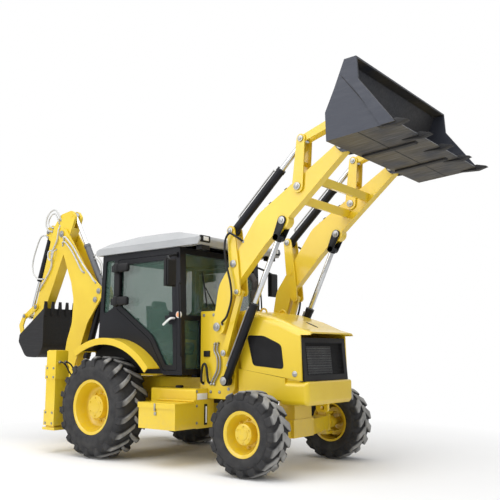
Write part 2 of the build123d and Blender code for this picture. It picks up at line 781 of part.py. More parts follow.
DOOR_REAR = 80
DOOR_HEEL = FENDER_CENTRE[1] + FENDER_R + 380
DOOR_HINGES = (2440, DOOR_HEEL + 100)
DOOR_OUTLINE = [
    (DOOR_REAR, 2560, 40), (1150, 2560, 40), (1205, 1110, 30), off_fender(38.5, 27, 60),
    off_fender(59, 153, 250), off_fender(84.5, 317, 120), (DOOR_REAR, DOOR_HEEL, 40),
]


def wall(front, z0, z1, low, high, inset, thick):
    """A sloping piece of the front or rear wall."""
    sign = -1 if front else 1
    corners = [
        (cab_x(front, z0) + sign * inset, z0), (cab_x(front, z1) + sign * inset, z1),
        (cab_x(front, z1) + sign * (inset + thick), z1), (cab_x(front, z0) + sign * (inset + thick), z0),
    ]
    return slab(corners, low, high)


WINDSCREEN = (1790, 2560, -700, 700)
FRONT_SIDE_GLASS = (1130, 1730, 460, 735)
REAR_GLASS = (1600, 2560, -700, 700)
QUARTER = [(-150, 2560, 30), (15, 2560, 30), (15, 1930, 40), (-185, 1830, 40)]


def cab_frame():
    """Hollow cab: pillars, lower panels, header and floor, windows cut."""
    side = slab(
        [
            (cab_x(True, CAB_SILL), CAB_SILL), (cab_x(True, CAB_TOP), CAB_TOP),
            (cab_x(False, CAB_TOP), CAB_TOP), (cab_x(False, CAB_SILL), CAB_SILL),
        ],
        CAB_HALF - CAB_WALL, CAB_HALF,
    )
    side -= pin(FENDER_CENTRE, 0, 2 * CAB_HALF, FENDER_R + SEAT_GAP)
    side -= slab(DOOR_OUTLINE, 0, 2 * CAB_HALF)
    side -= slab(QUARTER, 0, 2 * CAB_HALF)
    hinge_x = DOOR_REAR - 26
    for z in DOOR_HINGES:
        side += box(hinge_x - 60, hinge_x + 12, CAB_HALF - 5, CAB_HALF + 30, z - 42, z + 42)
        side -= post(hinge_x, CAB_HALF + 15, z - 43, z + 43, 9 + RUN_FIT)
        side -= box(hinge_x - 26, hinge_x + 40, CAB_HALF - 12, CAB_HALF + 60, z - 16, z + 16)
    body = pair(side)
    front = wall(True, CAB_SILL, CAB_TOP, -CAB_HALF, CAB_HALF, 0, CAB_WALL)
    low, high, y0, y1 = WINDSCREEN
    front -= box(1000, 1500, y0, y1, low, high)
    low, high, y0, y1 = FRONT_SIDE_GLASS
    front -= pair(box(1000, 1500, y0, y1, low, high))
    rear_low = CAB_FLOOR - 40
    rear = wall(False, rear_low, CAB_TOP, -WELL_Y + SEAT_GAP, WELL_Y - SEAT_GAP, 0, CAB_WALL)
    rear += wall(False, 1545, CAB_TOP, -CAB_HALF, CAB_HALF, 0, CAB_WALL)
    low, high, y0, y1 = REAR_GLASS
    rear -= box(-500, 0, y0, y1, low, high)
    well = WELL_Y - SEAT_GAP
    floor = box(cab_x(False, CAB_SILL), 1240, -well, well, CAB_FLOOR - 40, CAB_FLOOR)
    floor += box(1085, 1240, -CAB_HALF + 10, CAB_HALF - 10, CAB_FLOOR - 40, CAB_FLOOR)
    header = box(-200, 1220, -CAB_HALF + 5, CAB_HALF - 5, CAB_TOP - 24, CAB_TOP)
    body += front + rear + floor + header
    for x in (0, 1100):
        body += pair(box(x, x + 90, RAIL_IN, RAIL_OUT, RAIL_TOP + SEAT_GAP, CAB_FLOOR - 20))
    return body


def cab_glass():
    """Fixed panes: windscreen, lower front, rear and quarter glass."""
    gap = SEAT_GAP
    low, high, y0, y1 = WINDSCREEN
    body = wall(True, low + gap, high - gap, y0 + gap, y1 - gap, 22, GLASS_T)
    low, high, y0, y1 = FRONT_SIDE_GLASS
    body += pair(wall(True, low + gap, high - gap, y0 + gap, y1 - gap, 22, GLASS_T))
    low, high, y0, y1 = REAR_GLASS
    body += wall(False, low + gap, high - gap, y0 + gap, y1 - gap, 22, GLASS_T)
    pane = offset(profile(QUARTER), amount=-gap)
    body += pair(Pos(0, CAB_HALF - 30, 0) * extrude(pane, amount=GLASS_T, dir=(0, 1, 0)))
    return body


def cab_roof():
    """Roof cap with its front overhang."""
    low = CAB_TOP + SEAT_GAP
    body = slab(
        [
            (-300, low), (1560, low), (1600, low + 60, 30), (1580, low + 110, 40),
            (1150, ROOF_TOP - 20, 300), (500, ROOF_TOP, 900), (-100, ROOF_TOP - 70, 200),
            (-330, low + 60, 30),
        ],
        -CAB_HALF - 45, CAB_HALF + 45,
    )
    half = CAB_HALF + 45
    across = [
        (-half, low), (half, low), (half, low + 90), (half - 110, ROOF_TOP - 10), (0, ROOF_TOP),
        (-half + 110, ROOF_TOP - 10), (-half, low + 90),
    ]
    crown = extrude(Plane.YZ * Polygon(*across, align=None), amount=4000, both=True)
    inside = slab(
        [
            (-230, low - 1), (1470, low - 1), (1470, low + 60), (1140, ROOF_TOP - 60), (500, ROOF_TOP - 42),
            (-40, ROOF_TOP - 100),
        ],
        -CAB_HALF + 70, CAB_HALF - 70,
    )
    return (body & crown) - inside


DOOR_AXIS_X = DOOR_REAR - 26
DOOR_AXIS_Y = CAB_HALF + 15
DOOR_BORDER = 62


def door_frame(side):
    """Door frame with hinge knuckles and handle."""
    outer = offset(profile(DOOR_OUTLINE), amount=-DOOR_GAP)
    inner = offset(profile(DOOR_OUTLINE), amount=-DOOR_GAP - DOOR_BORDER)
    y = CAB_HALF - 2 - DOOR_T
    body = Pos(0, y, 0) * extrude(outer, amount=DOOR_T, dir=(0, 1, 0))
    body -= Pos(0, y - 1, 0) * extrude(inner, amount=DOOR_T + 2, dir=(0, 1, 0))
    for z in DOOR_HINGES:
        arm = box(DOOR_AXIS_X - 16, DOOR_AXIS_X + 16, DOOR_AXIS_Y - 15, DOOR_AXIS_Y + 20, z - 14, z + 14)
        arm += box(DOOR_AXIS_X, DOOR_REAR + 240, DOOR_AXIS_Y - 8, DOOR_AXIS_Y + 20, z - 14, z + 14)
        arm += box(DOOR_REAR + 20, DOOR_REAR + 90, CAB_HALF - 12, DOOR_AXIS_Y, z - 14, z + 14)
        arm += post(DOOR_AXIS_X, DOOR_AXIS_Y, z - 42, z + 42, 9)
        body += arm
    handle = box(1060, 1110, CAB_HALF - 8, CAB_HALF + 30, 1735, 1775)
    handle += box(1030, 1140, CAB_HALF + 25, CAB_HALF + 45, 1725, 1785)
    body += box(1050, 1164, y + 4, CAB_HALF - 2, 1680, 1830) + handle
    return body if side > 0 else mirrored(body)


def door_glass(side):
    """Pane that fills the door frame."""
    pane = offset(profile(DOOR_OUTLINE), amount=-DOOR_GAP - DOOR_BORDER - SEAT_GAP)
    body = Pos(0, CAB_HALF - 34, 0) * extrude(pane, amount=GLASS_T, dir=(0, 1, 0))
    body -= box(1050 - SEAT_GAP, 1300, 0, 2 * CAB_HALF, 1680 - SEAT_GAP, 1830 + SEAT_GAP)
    return body if side > 0 else mirrored(body)


def arch(radius, low, high):
    """A disc sector that spans the fender's arc."""
    cx, cz = FENDER_CENTRE
    disc = pin(FENDER_CENTRE, low, high, radius)
    far = 2 * FENDER_R
    keep = slab(
        [
            (cx, cz), (cx + far * math.cos(math.radians(42)), cz + far * math.sin(math.radians(42))),
            (cx, cz + far), (cx - far * math.sin(math.radians(32)), cz + far * math.cos(math.radians(32))),
        ],
        low, high,
    )
    return disc & keep


def rear_fenders():
    """Arched fenders with their lips and inner walls."""
    body = arch(FENDER_R, WELL_Y, FENDER_OUT) - arch(FENDER_R - FENDER_T, WELL_Y - 1, FENDER_OUT + 1)
    lip = arch(FENDER_R, FENDER_OUT - 16, FENDER_OUT) - arch(FENDER_R - 85, FENDER_OUT - 17, FENDER_OUT + 1)
    inner = arch(FENDER_R, WELL_Y, WELL_Y + 16) - box(-900, 1300, 0, 800, 0, CAB_FLOOR - 45)
    return pair(body + lip + inner)


def side_tanks():
    """Tanks on the rails, the toolbox on the right and the step on the left."""
    tank = box(TANK_REAR, TANK_FRONT, RAIL_OUT + SEAT_GAP, TANK_OUT, TANK_LOW, TANK_TOP)
    tank = fillet(tank.edges().filter_by(Axis.X).group_by(Axis.Y)[-1], 30)
    tank -= box(TOWER_REAR - CLEAR, TANK_FRONT + 1, 0, TOWER_OUT + CLEAR, RAIL_LOW - CLEAR, TANK_TOP + 1)
    body = pair(tank)
    crate = box(BOX_REAR, TANK_FRONT, -BOX_OUT, -TANK_OUT + 2, TANK_LOW + 7, BOX_TOP)
    crate -= box(BOX_REAR + 12, TANK_FRONT - 12, -BOX_OUT + 12, -TANK_OUT - 14, TANK_LOW + 19, BOX_TOP + 1)
    step = box(BOX_REAR, TANK_FRONT, TANK_OUT - 2, BOX_OUT, TANK_LOW + 7, TANK_LOW + 60)
    step += box(BOX_REAR, TANK_FRONT, TANK_OUT - 2, BOX_OUT - 130, BOX_TOP - 60, BOX_TOP)
    return body + crate + step


LID_AXIS_Y = -TANK_OUT - 24
LID_AXIS_Z = BOX_TOP + LID_T + 12


def toolbox_lid():
    """Toolbox lid with its hinge barrel."""
    low = BOX_TOP + SEAT_GAP
    body = box(BOX_REAR - 8, TANK_FRONT + 8, -BOX_OUT - 8, -TANK_OUT - 20, low, low + LID_T)
    body += box(BOX_REAR - 8, TANK_FRONT + 8, -BOX_OUT - 12, -BOX_OUT - 4, low - 50, low + LID_T)
    hinge = Pos((BOX_REAR + TANK_FRONT) / 2, LID_AXIS_Y, LID_AXIS_Z) * Rot(0, 90, 0) * Cylinder(
        12, TANK_FRONT - BOX_REAR
    )
    return body + hinge


def seat():
    """Operator's seat on its pedestal."""
    body = box(180, 460, -170, 170, CAB_FLOOR + SEAT_GAP, 1340)
    body += fillet(box(60, 560, -250, 250, 1330, 1460).edges().filter_by(Axis.Z), 60)
    back = slab([(40, 1440), (150, 1440), (100, 2040, 40), (0, 2040, 40)], -235, 235)
    return body + back


def controls():
    """Steering column and wheel, dash and the backhoe control stands."""
    body = box(1010, 1200, -220, 220, CAB_FLOOR + SEAT_GAP, 1590)
    body += strut((1080, 0, 1560), (850, 0, 1760), 28)
    tilt = math.degrees(math.atan2(200, 230))
    body += Pos(850, 0, 1760) * Rot(0, -90 + tilt, 0) * Torus(185, 15)
    body += Pos(850, 0, 1760) * Rot(0, -90 + tilt, 0) * Box(30, 370, 16)
    stand = box(-180, -60, 190, 320, CAB_FLOOR + SEAT_GAP, 1560)
    stand += strut((-120, 255, 1540), (-90, 255, 1780), 11)
    stand += Pos(-90, 255, 1790) * Sphere(24)
    return body + pair(stand)


def mirrors_lamps():
    """Mirrors on their brackets and the roof work lamps."""
    body = box(1160, 1200, CAB_HALF + SEAT_GAP, CAB_HALF + 22, 2510, 2570)
    body += strut((1180, CAB_HALF + 16, 2540), (1210, CAB_HALF + 190, 2500), 14)
    body += strut((1210, CAB_HALF + 190, 2500), (1300, CAB_HALF + 250, 2440), 14)
    body += box(1285, 1325, CAB_HALF + 165, CAB_HALF + 335, 2120, 2450)
    lamp = Pos(1515, 690, CAB_TOP - 28) * Box(90, 150, 56)
    rear = Pos(-265, 650, CAB_TOP - 33) * Box(80, 150, 66)
    return pair(body + lamp + rear)


# Backhoe

def hoe(shape):
    """Move a backhoe piece from the centre plane to where the carriage stands."""
    return Pos(0, HOE_Y, 0) * shape


BOSS_LOW = 560
BOSS_HIGH = 850


def carriage():
    """Side-shift carriage with the boss that the kingpost swings on."""
    rear = LEG_X - SLEEVE / 2
    body = box(rear - 95, rear - CLEAR, -260, 260, BEAM_LOW - 15, BEAM_TOP + 15)
    body += box(rear - 20, rear + 60, -260, 260, BEAM_TOP + SEAT_GAP, BEAM_TOP + 30)
    body += box(rear - 20, rear + 60, -260, 260, BEAM_LOW - 30, BEAM_LOW - SEAT_GAP)
    body += box(SWING_X, rear - 50, -85, 85, BOSS_LOW, BOSS_HIGH)
    body += post(SWING_X, 0, BOSS_LOW, BOSS_HIGH, 108)
    return hoe(body - post(SWING_X, 0, BOSS_LOW - 1, BOSS_HIGH + 1, 45 + RUN_FIT))


def kingpost():
    """Swing post with the ears for the boom and its cylinder."""
    low = BOSS_LOW - 110
    high = BOSS_HIGH + 80
    body = post(SWING_X, 0, low, BOSS_LOW - 2, 104) + post(SWING_X, 0, BOSS_HIGH + 2, high, 104)
    body += box(SWING_X - 150, SWING_X, -104, 104, low, BOSS_LOW - 2)
    body += box(SWING_X - 150, SWING_X, -104, 104, BOSS_HIGH + 2, high - 20)
    body += box(SWING_X - 160, SWING_X - 118, -145, 145, low, high - 20)
    body += post(SWING_X, 0, low, high, 45)
    out = PLATE_IN + PLATE_T + 7
    ear = slab(
        [
            (SWING_X - 125, low + 20), (SWING_X - 125, high - 40),
            (BOOM_FOOT[0] + 30, BOOM_FOOT[1] + 110, 60),
            (BOOM_FOOT[0] - 95, BOOM_FOOT[1] + 100, 80), (BOOM_FOOT[0] - 95, BOOM_FOOT[1] - 95, 80),
            (BOOM_FOOT[0] + 60, BOOM_FOOT[1] - 110, 60),
        ],
        out, out + 26,
    )
    body += pair(ear)
    body += pin(BOOM_FOOT, -out - 34, out + 34, 40)
    top = strap(BOOM_CYL_BASE, (SWING_X - 60, high - 8), 46, 68, 60, 62)
    body += pair(top)
    body += pin(BOOM_CYL_BASE, -80, 80, 30)
    return hoe(body)


BOOM_OUTLINE = [
    (-1800, 620, 80), (-1790, 800, 100), (-1655, 1500, 200), (-1545, 1780, 300), (-1530, 2140, 300),
    (-1600, 2400, 200), (-1960, 3150, 80), (-1920, 3290, 80), (-1790, 3270, 80), (-1230, 2560, 200),
    (-905, 2300, 60), (-860, 2160, 60), (-985, 2010, 80), (-1180, 1770, 200), (-1440, 1160, 200),
    (-1620, 600, 80),
]


def boom():
    """Boom: two side plates on a box core, open at the top for the stick."""
    plate = slab(BOOM_OUTLINE, PLATE_IN, PLATE_IN + PLATE_T)
    body = pair(plate)
    core = slab(
        [
            (-1780, 640, 70), (-1770, 790, 80), (-1640, 1495, 150), (-1535, 1770, 200),
            (-1510, 2130), (-1330, 2200, 100), (-1290, 1900, 100), (-1330, 1500, 150),
            (-1480, 1000, 100), (-1600, 640, 60),
        ],
        -PLATE_IN, PLATE_IN,
    )
    body += core
    body -= pin(BOOM_FOOT, -200, 200, 40 + RUN_FIT)
    out = PLATE_IN + PLATE_T + 10
    body += pin(STICK_CYL_BASE, -out, out, 30)
    body += pair(pin(BOOM_CYL_TOP, PLATE_IN, out, 34))
    body += pin(STICK_PIN, -PLATE_IN - PLATE_T - 14, PLATE_IN + PLATE_T + 14, 38)
    return hoe(body)


BOOM_BARREL = 920
BOOM_ROD_R = 30


def boom_barrel():
    """Boom cylinder barrel, hung from the boom."""
    body = barrel(BOOM_CYL_TOP, BOOM_CYL_BASE, 0, BOOM_BARREL, 48, BOOM_ROD_R, 52, 40, 10)
    return hoe(body + pin(BOOM_CYL_TOP, -PLATE_IN + 3, PLATE_IN - 3, 30))


def boom_rod():
    """Boom cylinder rod, its eye at the kingpost."""
    return hoe(rod(BOOM_CYL_TOP, BOOM_CYL_BASE, 0, 150, BOOM_ROD_R, 52, 38, 30 + RUN_FIT))


def stick():
    """Stick with its tail ears, tip and cylinder ears."""
    body = slab(
        [
            (-1690, 3560, 70), (-1600, 3450, 70), (-1780, 3040, 120), (-2090, 2400, 200),
            (-2445, 1700, 60), (-2590, 1700, 60), (-2600, 1850, 60), (-2335, 2680, 200),
            (-2140, 3330, 120), (-1960, 3520, 120),
        ],
        -STICK_HALF, STICK_HALF,
    )
    tail = slab(
        [(-1845, 3640), (-1560, 3640), (-1560, 3270), (-1845, 3300)],
        -34, 34,
    )
    body -= tail
    body -= pin(STICK_TAIL, -36, 36, 75)
    body -= pin(STICK_PIN, -200, 200, 38 + RUN_FIT)
    body += pair(pin(STICK_TAIL, 50, STICK_HALF + 4, 34))
    for at in (ROCKER_PIN, HOE_PIN):
        body += pin(at, -112, 112, 28)
    ears = slab(
        [(-2120, 3220), (-2160, 3380, 40), (-2330, 3340, 50), (-2350, 3210, 50), (-2200, 3090)],
        46, 68,
    )
    return hoe(body + pair(ears) + pin(HOE_CYL_BASE, -76, 76, 26))


STICK_BARREL = 870
STICK_ROD_R = 30


def stick_barrel():
    """Stick cylinder barrel on the boom."""
    return hoe(barrel(STICK_CYL_BASE, STICK_TAIL, 0, STICK_BARREL, 48, STICK_ROD_R, 52, 40, 30 + RUN_FIT))


def stick_rod():
    """Stick cylinder rod, its eye at the stick's tail."""
    body = rod(STICK_CYL_BASE, STICK_TAIL, 0, 600, STICK_ROD_R, 50, 26, 10)
    return hoe(body + pin(STICK_TAIL, -32, 32, 30))


HOE_BARREL = 830
HOE_ROD_R = 28


def hoe_barrel():
    """Backhoe bucket cylinder barrel."""
    return hoe(barrel(HOE_CYL_BASE, ROCKER_END, 0, HOE_BARREL, 44, HOE_ROD_R, 48, 38, 26 + RUN_FIT))


def hoe_rod():
    """Backhoe bucket cylinder rod, its eye at the rocker."""
    body = rod(HOE_CYL_BASE, ROCKER_END, 0, 700, HOE_ROD_R, 46, 24, 10)
    return hoe(body + pin(ROCKER_END, -28, 28, 24))


HOE_PLATE = STICK_HALF + 5
LINK_BOW = (-2848, 1765)


def rocker():
    """Rocker plates that guide the bucket cylinder's eye."""
    plate = strap(ROCKER_PIN, ROCKER_END, HOE_PLATE, HOE_PLATE + 20, 48, 42)
    plate += pin(ROCKER_END, 30, HOE_PLATE + 52, 24)
    plate -= pin(ROCKER_PIN, 0, 200, 28 + RUN_FIT)
    return hoe(pair(plate))


def hoe_link():
    """Curved link plates from the rocker to the bucket."""
    low = HOE_PLATE + 24
    plate = strap(ROCKER_END, LINK_BOW, low, low + 20, 42, 48)
    plate += strap(LINK_BOW, HOE_EAR, low, low + 20, 48, 42)
    plate -= pin(ROCKER_END, 0, 200, 24 + RUN_FIT)
    plate -= pin(HOE_EAR, 0, 200, 26)
    return hoe(pair(plate))


HOE_LIP = (-2010, 2010)


def hoe_bucket():
    """Backhoe bucket: shell, side plates, teeth and ears."""
    outline = [
        HOE_LIP, (-2000, 1420, 200), (-2120, 1250, 160), (-2440, 1260, 180), (-2640, 1500, 60),
        (-2620, 1610),
    ]
    body = slab(outline, -HOE_HALF, HOE_HALF)
    cavity = [
        (HOE_LIP[0] - 16, HOE_LIP[1] + 300), (-2018, 1430, 184), (-2130, 1268, 144), (-2432, 1278, 164),
        (-2620, 1505, 44), (-2605, 1620), (-2900, 1900),
    ]
    body -= slab(cavity, -HOE_HALF + 18, HOE_HALF - 18)
    tooth = [(-1996, 1900), (-1990, 2010), (-2003, 2120), (-2020, 2010), (-2024, 1900)]
    for index in range(5):
        y = -HOE_HALF + 30 + index * (2 * HOE_HALF - 60) / 4
        body += slab(tooth, y - 28, y + 28)
    low = HOE_PLATE
    high = HOE_PLATE + 20
    ear = strap(HOE_PIN, HOE_EAR, low, high, 56, 44)
    ear += slab([(-2500, 1320), (-2640, 1500), (-2760, 1600), (-2585, 1745), (-2475, 1745)], low, high)
    ear += pin(HOE_EAR, low, high + 34, 24)
    ear -= pin(HOE_PIN, 0, 200, 28 + RUN_FIT)
    return hoe(body + pair(ear))


NODES = {
    "chassis_frame": chassis_frame,
    "axles": axles,
    "engine_block": engine_block,
    "nose": nose,
    "grille": grille,
    "cowl": cowl,
    "exhaust": exhaust,
    "cab_frame": cab_frame,
    "cab_glass": cab_glass,
    "cab_roof": cab_roof,
    "rear_fenders": rear_fenders,
    "side_tanks": side_tanks,
    "seat": seat,
    "controls": controls,
    "mirrors_lamps": mirrors_lamps,
    "toolbox_lid": toolbox_lid,
    "hood": hood,
    "hood_vents": hood_vents,
    "loader_arms": loader_arms,
    "levelling_levers": levelling_levers,
    "levelling_links": levelling_links,
    "tilt_barrels": tilt_barrels,
    "tilt_pistons": tilt_pistons,
    "tilt_rods": tilt_rods,
    "bucket_levers": bucket_levers,
    "bucket_links": bucket_links,
    "lift_barrels": lift_barrels,
    "lift_rods": lift_rods,
    "loader_bucket": loader_bucket,
    "carriage": carriage,
    "kingpost": kingpost,
    "boom": boom,
    "boom_barrel": boom_barrel,
    "boom_rod": boom_rod,
    "stick": stick,
    "stick_barrel": stick_barrel,
    "stick_rod": stick_rod,
    "hoe_barrel": hoe_barrel,
    "hoe_rod": hoe_rod,
    "rocker": rocker,
    "hoe_link": hoe_link,
    "hoe_bucket": hoe_bucket,
}

SIDED = {
    "front_tyre": front_tyre,
    "front_rim": front_rim,
    "rear_tyre": rear_tyre,
    "rear_rim": rear_rim,
    "knuckle": knuckle,
    "door": door_frame,
    "door_glass": door_glass,
    "stabiliser": stabiliser,
}


def main():
    """Build every node and write it in the finished frame."""
    os.makedirs("parts", exist_ok=True)
    made = {name: maker() for name, maker in NODES.items()}
    for name, maker in SIDED.items():
        made[name + "_left"] = maker(1)
        made[name + "_right"] = maker(-1)
    for name, shape in made.items():
        export_step(Pos(REAR_AXLE_X, 0, 0) * shape, "parts/" + name + ".step")


if __name__ == "__main__":
    main()
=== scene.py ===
"""Dresses the backhoe loader: paint, glass, rubber, fittings, hoses, studio and camera."""

import json
import logging
import math
from dataclasses import dataclass
from enum import Enum
from typing import Callable, Optional, Sequence

import bpy
from mathutils import Matrix, Vector


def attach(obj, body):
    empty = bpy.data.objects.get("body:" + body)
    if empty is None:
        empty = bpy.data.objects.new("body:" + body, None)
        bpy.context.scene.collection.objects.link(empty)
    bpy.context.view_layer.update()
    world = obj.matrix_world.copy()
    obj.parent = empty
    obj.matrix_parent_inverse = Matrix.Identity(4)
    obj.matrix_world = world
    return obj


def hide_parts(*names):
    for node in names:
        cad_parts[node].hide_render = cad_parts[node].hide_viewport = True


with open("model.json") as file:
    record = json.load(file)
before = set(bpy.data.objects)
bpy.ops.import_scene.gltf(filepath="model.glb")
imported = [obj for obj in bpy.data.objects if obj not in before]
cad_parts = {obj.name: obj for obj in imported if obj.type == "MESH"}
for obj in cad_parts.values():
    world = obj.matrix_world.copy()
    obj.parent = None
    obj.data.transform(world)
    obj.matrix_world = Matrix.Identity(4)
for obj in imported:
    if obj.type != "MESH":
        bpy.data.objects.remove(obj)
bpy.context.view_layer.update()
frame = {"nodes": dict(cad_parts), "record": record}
LOG = logging.getLogger("backhoe_loader")

Point = Sequence[float]
Colour = tuple[float, float, float]

# The photograph's square frame, in pixels, and the lens fitted to it
FRAME_PX = 500
FOCAL_PX = 693.65
SENSOR_MM = 36.0

# Places along the machine are given forward from the rear axle, in metres
REAR_AXLE_X = -0.7835


def fore(x: float) -> float:
    """Frame X of a place given forward from the rear axle."""
    return x + REAR_AXLE_X


class Side(Enum):
    """The machine's two sides, by the sign of Y."""

    LEFT = 1
    RIGHT = -1

    @property
    def word(self) -> str:
        """The side's name as the bodies spell it."""
        return self.name.lower()


class Axis(Enum):
    """Frame axes."""

    X = (1.0, 0.0, 0.0)
    Y = (0.0, 1.0, 0.0)
    Z = (0.0, 0.0, 1.0)


class Bench:
    """Modelling tools: each piece starts as a primitive and is shaped in edit mode."""

    @staticmethod
    def clear() -> None:
        """Leaves edit mode and selects nothing."""
        active = bpy.context.view_layer.objects.active
        if active is not None and active.mode != "OBJECT":
            bpy.ops.object.mode_set(mode="OBJECT")
        bpy.ops.object.select_all(action="DESELECT")

    @staticmethod
    def pick(obj: bpy.types.Object) -> None:
        """Makes one piece the only selected and active one."""
        Bench.clear()
        obj.select_set(True)
        bpy.context.view_layer.objects.active = obj

    @staticmethod
    def settle(name: str) -> bpy.types.Object:
        """Names the active piece and puts its place into its mesh.

        Args:
            name: The piece's name.

        Returns:
            The piece, at the origin, unturned and unscaled.
        """
        if bpy.context.object.mode != "OBJECT":
            bpy.ops.object.mode_set(mode="OBJECT")
        bpy.ops.object.transform_apply(location=True, rotation=True, scale=True)
        obj = bpy.context.active_object
        obj.name = name
        obj.data.name = name
        return obj

    @staticmethod
    def round_off(obj: bpy.types.Object, width: float, segments: int = 2, angle: float = 35.0) -> None:
        """Rounds a piece's sharp edges with an applied bevel.

        Args:
            obj: The piece.
            width: Width of the rounding.
            segments: Facets across the rounding.
            angle: Edges sharper than this many degrees are rounded.
        """
        Bench.pick(obj)
        bevel = obj.modifiers.new("edges", "BEVEL")
        bevel.width = width
        bevel.segments = segments
        bevel.limit_method = "ANGLE"
        bevel.angle_limit = math.radians(angle)
        bevel.use_clamp_overlap = True
        bpy.ops.object.modifier_apply(modifier=bevel.name)

    @staticmethod
    def smooth(obj: bpy.types.Object, angle: float = 40.0) -> bpy.types.Object:
        """Shades a piece smooth up to an angle."""
        Bench.pick(obj)
        bpy.ops.object.shade_smooth_by_angle(angle=math.radians(angle))
        return obj

    @staticmethod
    def close_up(obj: bpy.types.Object) -> None:
        """Merges doubled points and turns all faces outwards."""
        Bench.pick(obj)
        bpy.ops.object.mode_set(mode="EDIT")
        bpy.ops.mesh.select_all(action="SELECT")
        bpy.ops.mesh.remove_doubles(threshold=1e-5)
        bpy.ops.mesh.normals_make_consistent(inside=False)
        bpy.ops.object.mode_set(mode="OBJECT")

    @staticmethod
    def block(name: str, low: Point, high: Point, edge: float = 0.004,
              segments: int = 2) -> bpy.types.Object:
        """A box between two corners with rounded edges.

        Args:
            name: The piece's name.
            low: Lowest corner.
            high: Highest corner.
            edge: Width of the edges' rounding.
            segments: Facets across the rounding.

        Returns:
            The piece.
        """
        Bench.clear()
        centre = (Vector(low) + Vector(high)) / 2
        size = Vector(high) - Vector(low)
        bpy.ops.mesh.primitive_cube_add(size=1.0, location=centre, scale=size)
        obj = Bench.settle(name)
        bpy.ops.object.mode_set(mode="EDIT")
        bpy.ops.mesh.select_all(action="SELECT")
        bpy.ops.mesh.bevel(offset=edge, segments=segments, affect="EDGES", clamp_overlap=True)
        bpy.ops.object.mode_set(mode="OBJECT")
        return Bench.smooth(obj)

    @staticmethod
    def bar(name: str, start: Point, end: Point, radius: float, sides: int = 24, edge: float = 0.003,
            far_radius: Optional[float] = None) -> bpy.types.Object:
        """A round bar between two points with rounded rims.

        Args:
            name: The piece's name.
            start: Centre of one end.
            end: Centre of the other end.
            radius: Radius at the start.
            sides: Facets round the bar.
            edge: Width of the rims' rounding.
            far_radius: Radius at the end, where it differs.

        Returns:
            The piece.
        """
        Bench.clear()
        run = Vector(end) - Vector(start)
        turn = run.to_track_quat("Z", "Y").to_euler()
        bpy.ops.mesh.primitive_cone_add(
            vertices=sides, radius1=radius, radius2=radius if far_radius is None else far_radius,
            depth=run.length, location=(Vector(start) + Vector(end)) / 2, rotation=turn,
        )
        obj = Bench.settle(name)
        if edge > 0:
            Bench.round_off(obj, edge, 2, 50.0)
        return Bench.smooth(obj)

    @staticmethod
    def chain(points: Sequence[Point]) -> None:
        """Starts a mesh as one point and extrudes it through the others, staying in edit mode."""
        Bench.clear()
        bpy.ops.mesh.primitive_plane_add(size=0.001, location=points[0])
        bpy.ops.object.mode_set(mode="EDIT")
        bpy.ops.mesh.select_all(action="SELECT")
        bpy.ops.mesh.merge(type="CENTER")
        last = Vector(points[0])
        for point in points[1:]:
            step = Vector(point) - last
            bpy.ops.mesh.extrude_region_move(TRANSFORM_OT_translate={"value": step})
            last = Vector(point)

    @staticmethod
    def turned(name: str, profile: Sequence[tuple[float, float]], centre: Point, axis: Axis,
               steps: int = 64, hand: int = 1, angle: float = 32.0) -> bpy.types.Object:
        """A turned piece: an outline spun about an axis.

        Args:
            name: The piece's name.
            profile: Places of (distance along the axis, radius), in order.
            centre: A point of the axis.
            axis: The axis spun about.
            steps: Facets round the piece.
            hand: Sign that the distances along the axis take.
            angle: Edges flatter than this many degrees are shaded smooth.

        Returns:
            The piece.
        """
        middle = Vector(centre)
        way = Vector(axis.value)
        out = Vector((0.0, 0.0, 1.0)) if axis is not Axis.Z else Vector((1.0, 0.0, 0.0))
        Bench.chain([middle + way * (hand * run) + out * radius for run, radius in profile])
        bpy.ops.mesh.select_all(action="SELECT")
        bpy.ops.mesh.spin(steps=steps, angle=math.tau, center=middle, axis=way)
        bpy.ops.mesh.select_all(action="SELECT")
        bpy.ops.mesh.remove_doubles(threshold=1e-5)
        bpy.ops.mesh.normals_make_consistent(inside=False)
        obj = Bench.settle(name)
        return Bench.smooth(obj, angle)

    @staticmethod
    def plate(name: str, outline: Sequence[tuple[float, float]], low: float, high: float,
              edge: float = 0.003, axis: Axis = Axis.Y) -> bpy.types.Object:
        """A flat plate from an outline, thickened along an axis.

        Args:
            name: The piece's name.
            outline: Corners as (x, z) across Y, (y, z) across X or (x, y) across Z.
            low: Where the plate starts along the axis.
            high: Where the plate ends.
            edge: Width of the edges' rounding.
            axis: The axis across the plate.

        Returns:
            The piece.
        """
        spread: Callable[[float, float], tuple[float, float, float]] = {
            Axis.X: lambda u, v: (low, u, v),
            Axis.Y: lambda u, v: (u, low, v),
            Axis.Z: lambda u, v: (u, v, low),
        }[axis]
        Bench.chain([spread(u, v) for u, v in outline])
        bpy.ops.mesh.select_all(action="SELECT")
        bpy.ops.mesh.edge_face_add()
        thick = Vector(axis.value) * (high - low)
        bpy.ops.mesh.extrude_region_move(TRANSFORM_OT_translate={"value": thick})
        bpy.ops.mesh.select_all(action="SELECT")
        bpy.ops.mesh.normals_make_consistent(inside=False)
        obj = Bench.settle(name)
        if edge > 0:
            Bench.round_off(obj, edge, 2, 30.0)
        return Bench.smooth(obj)

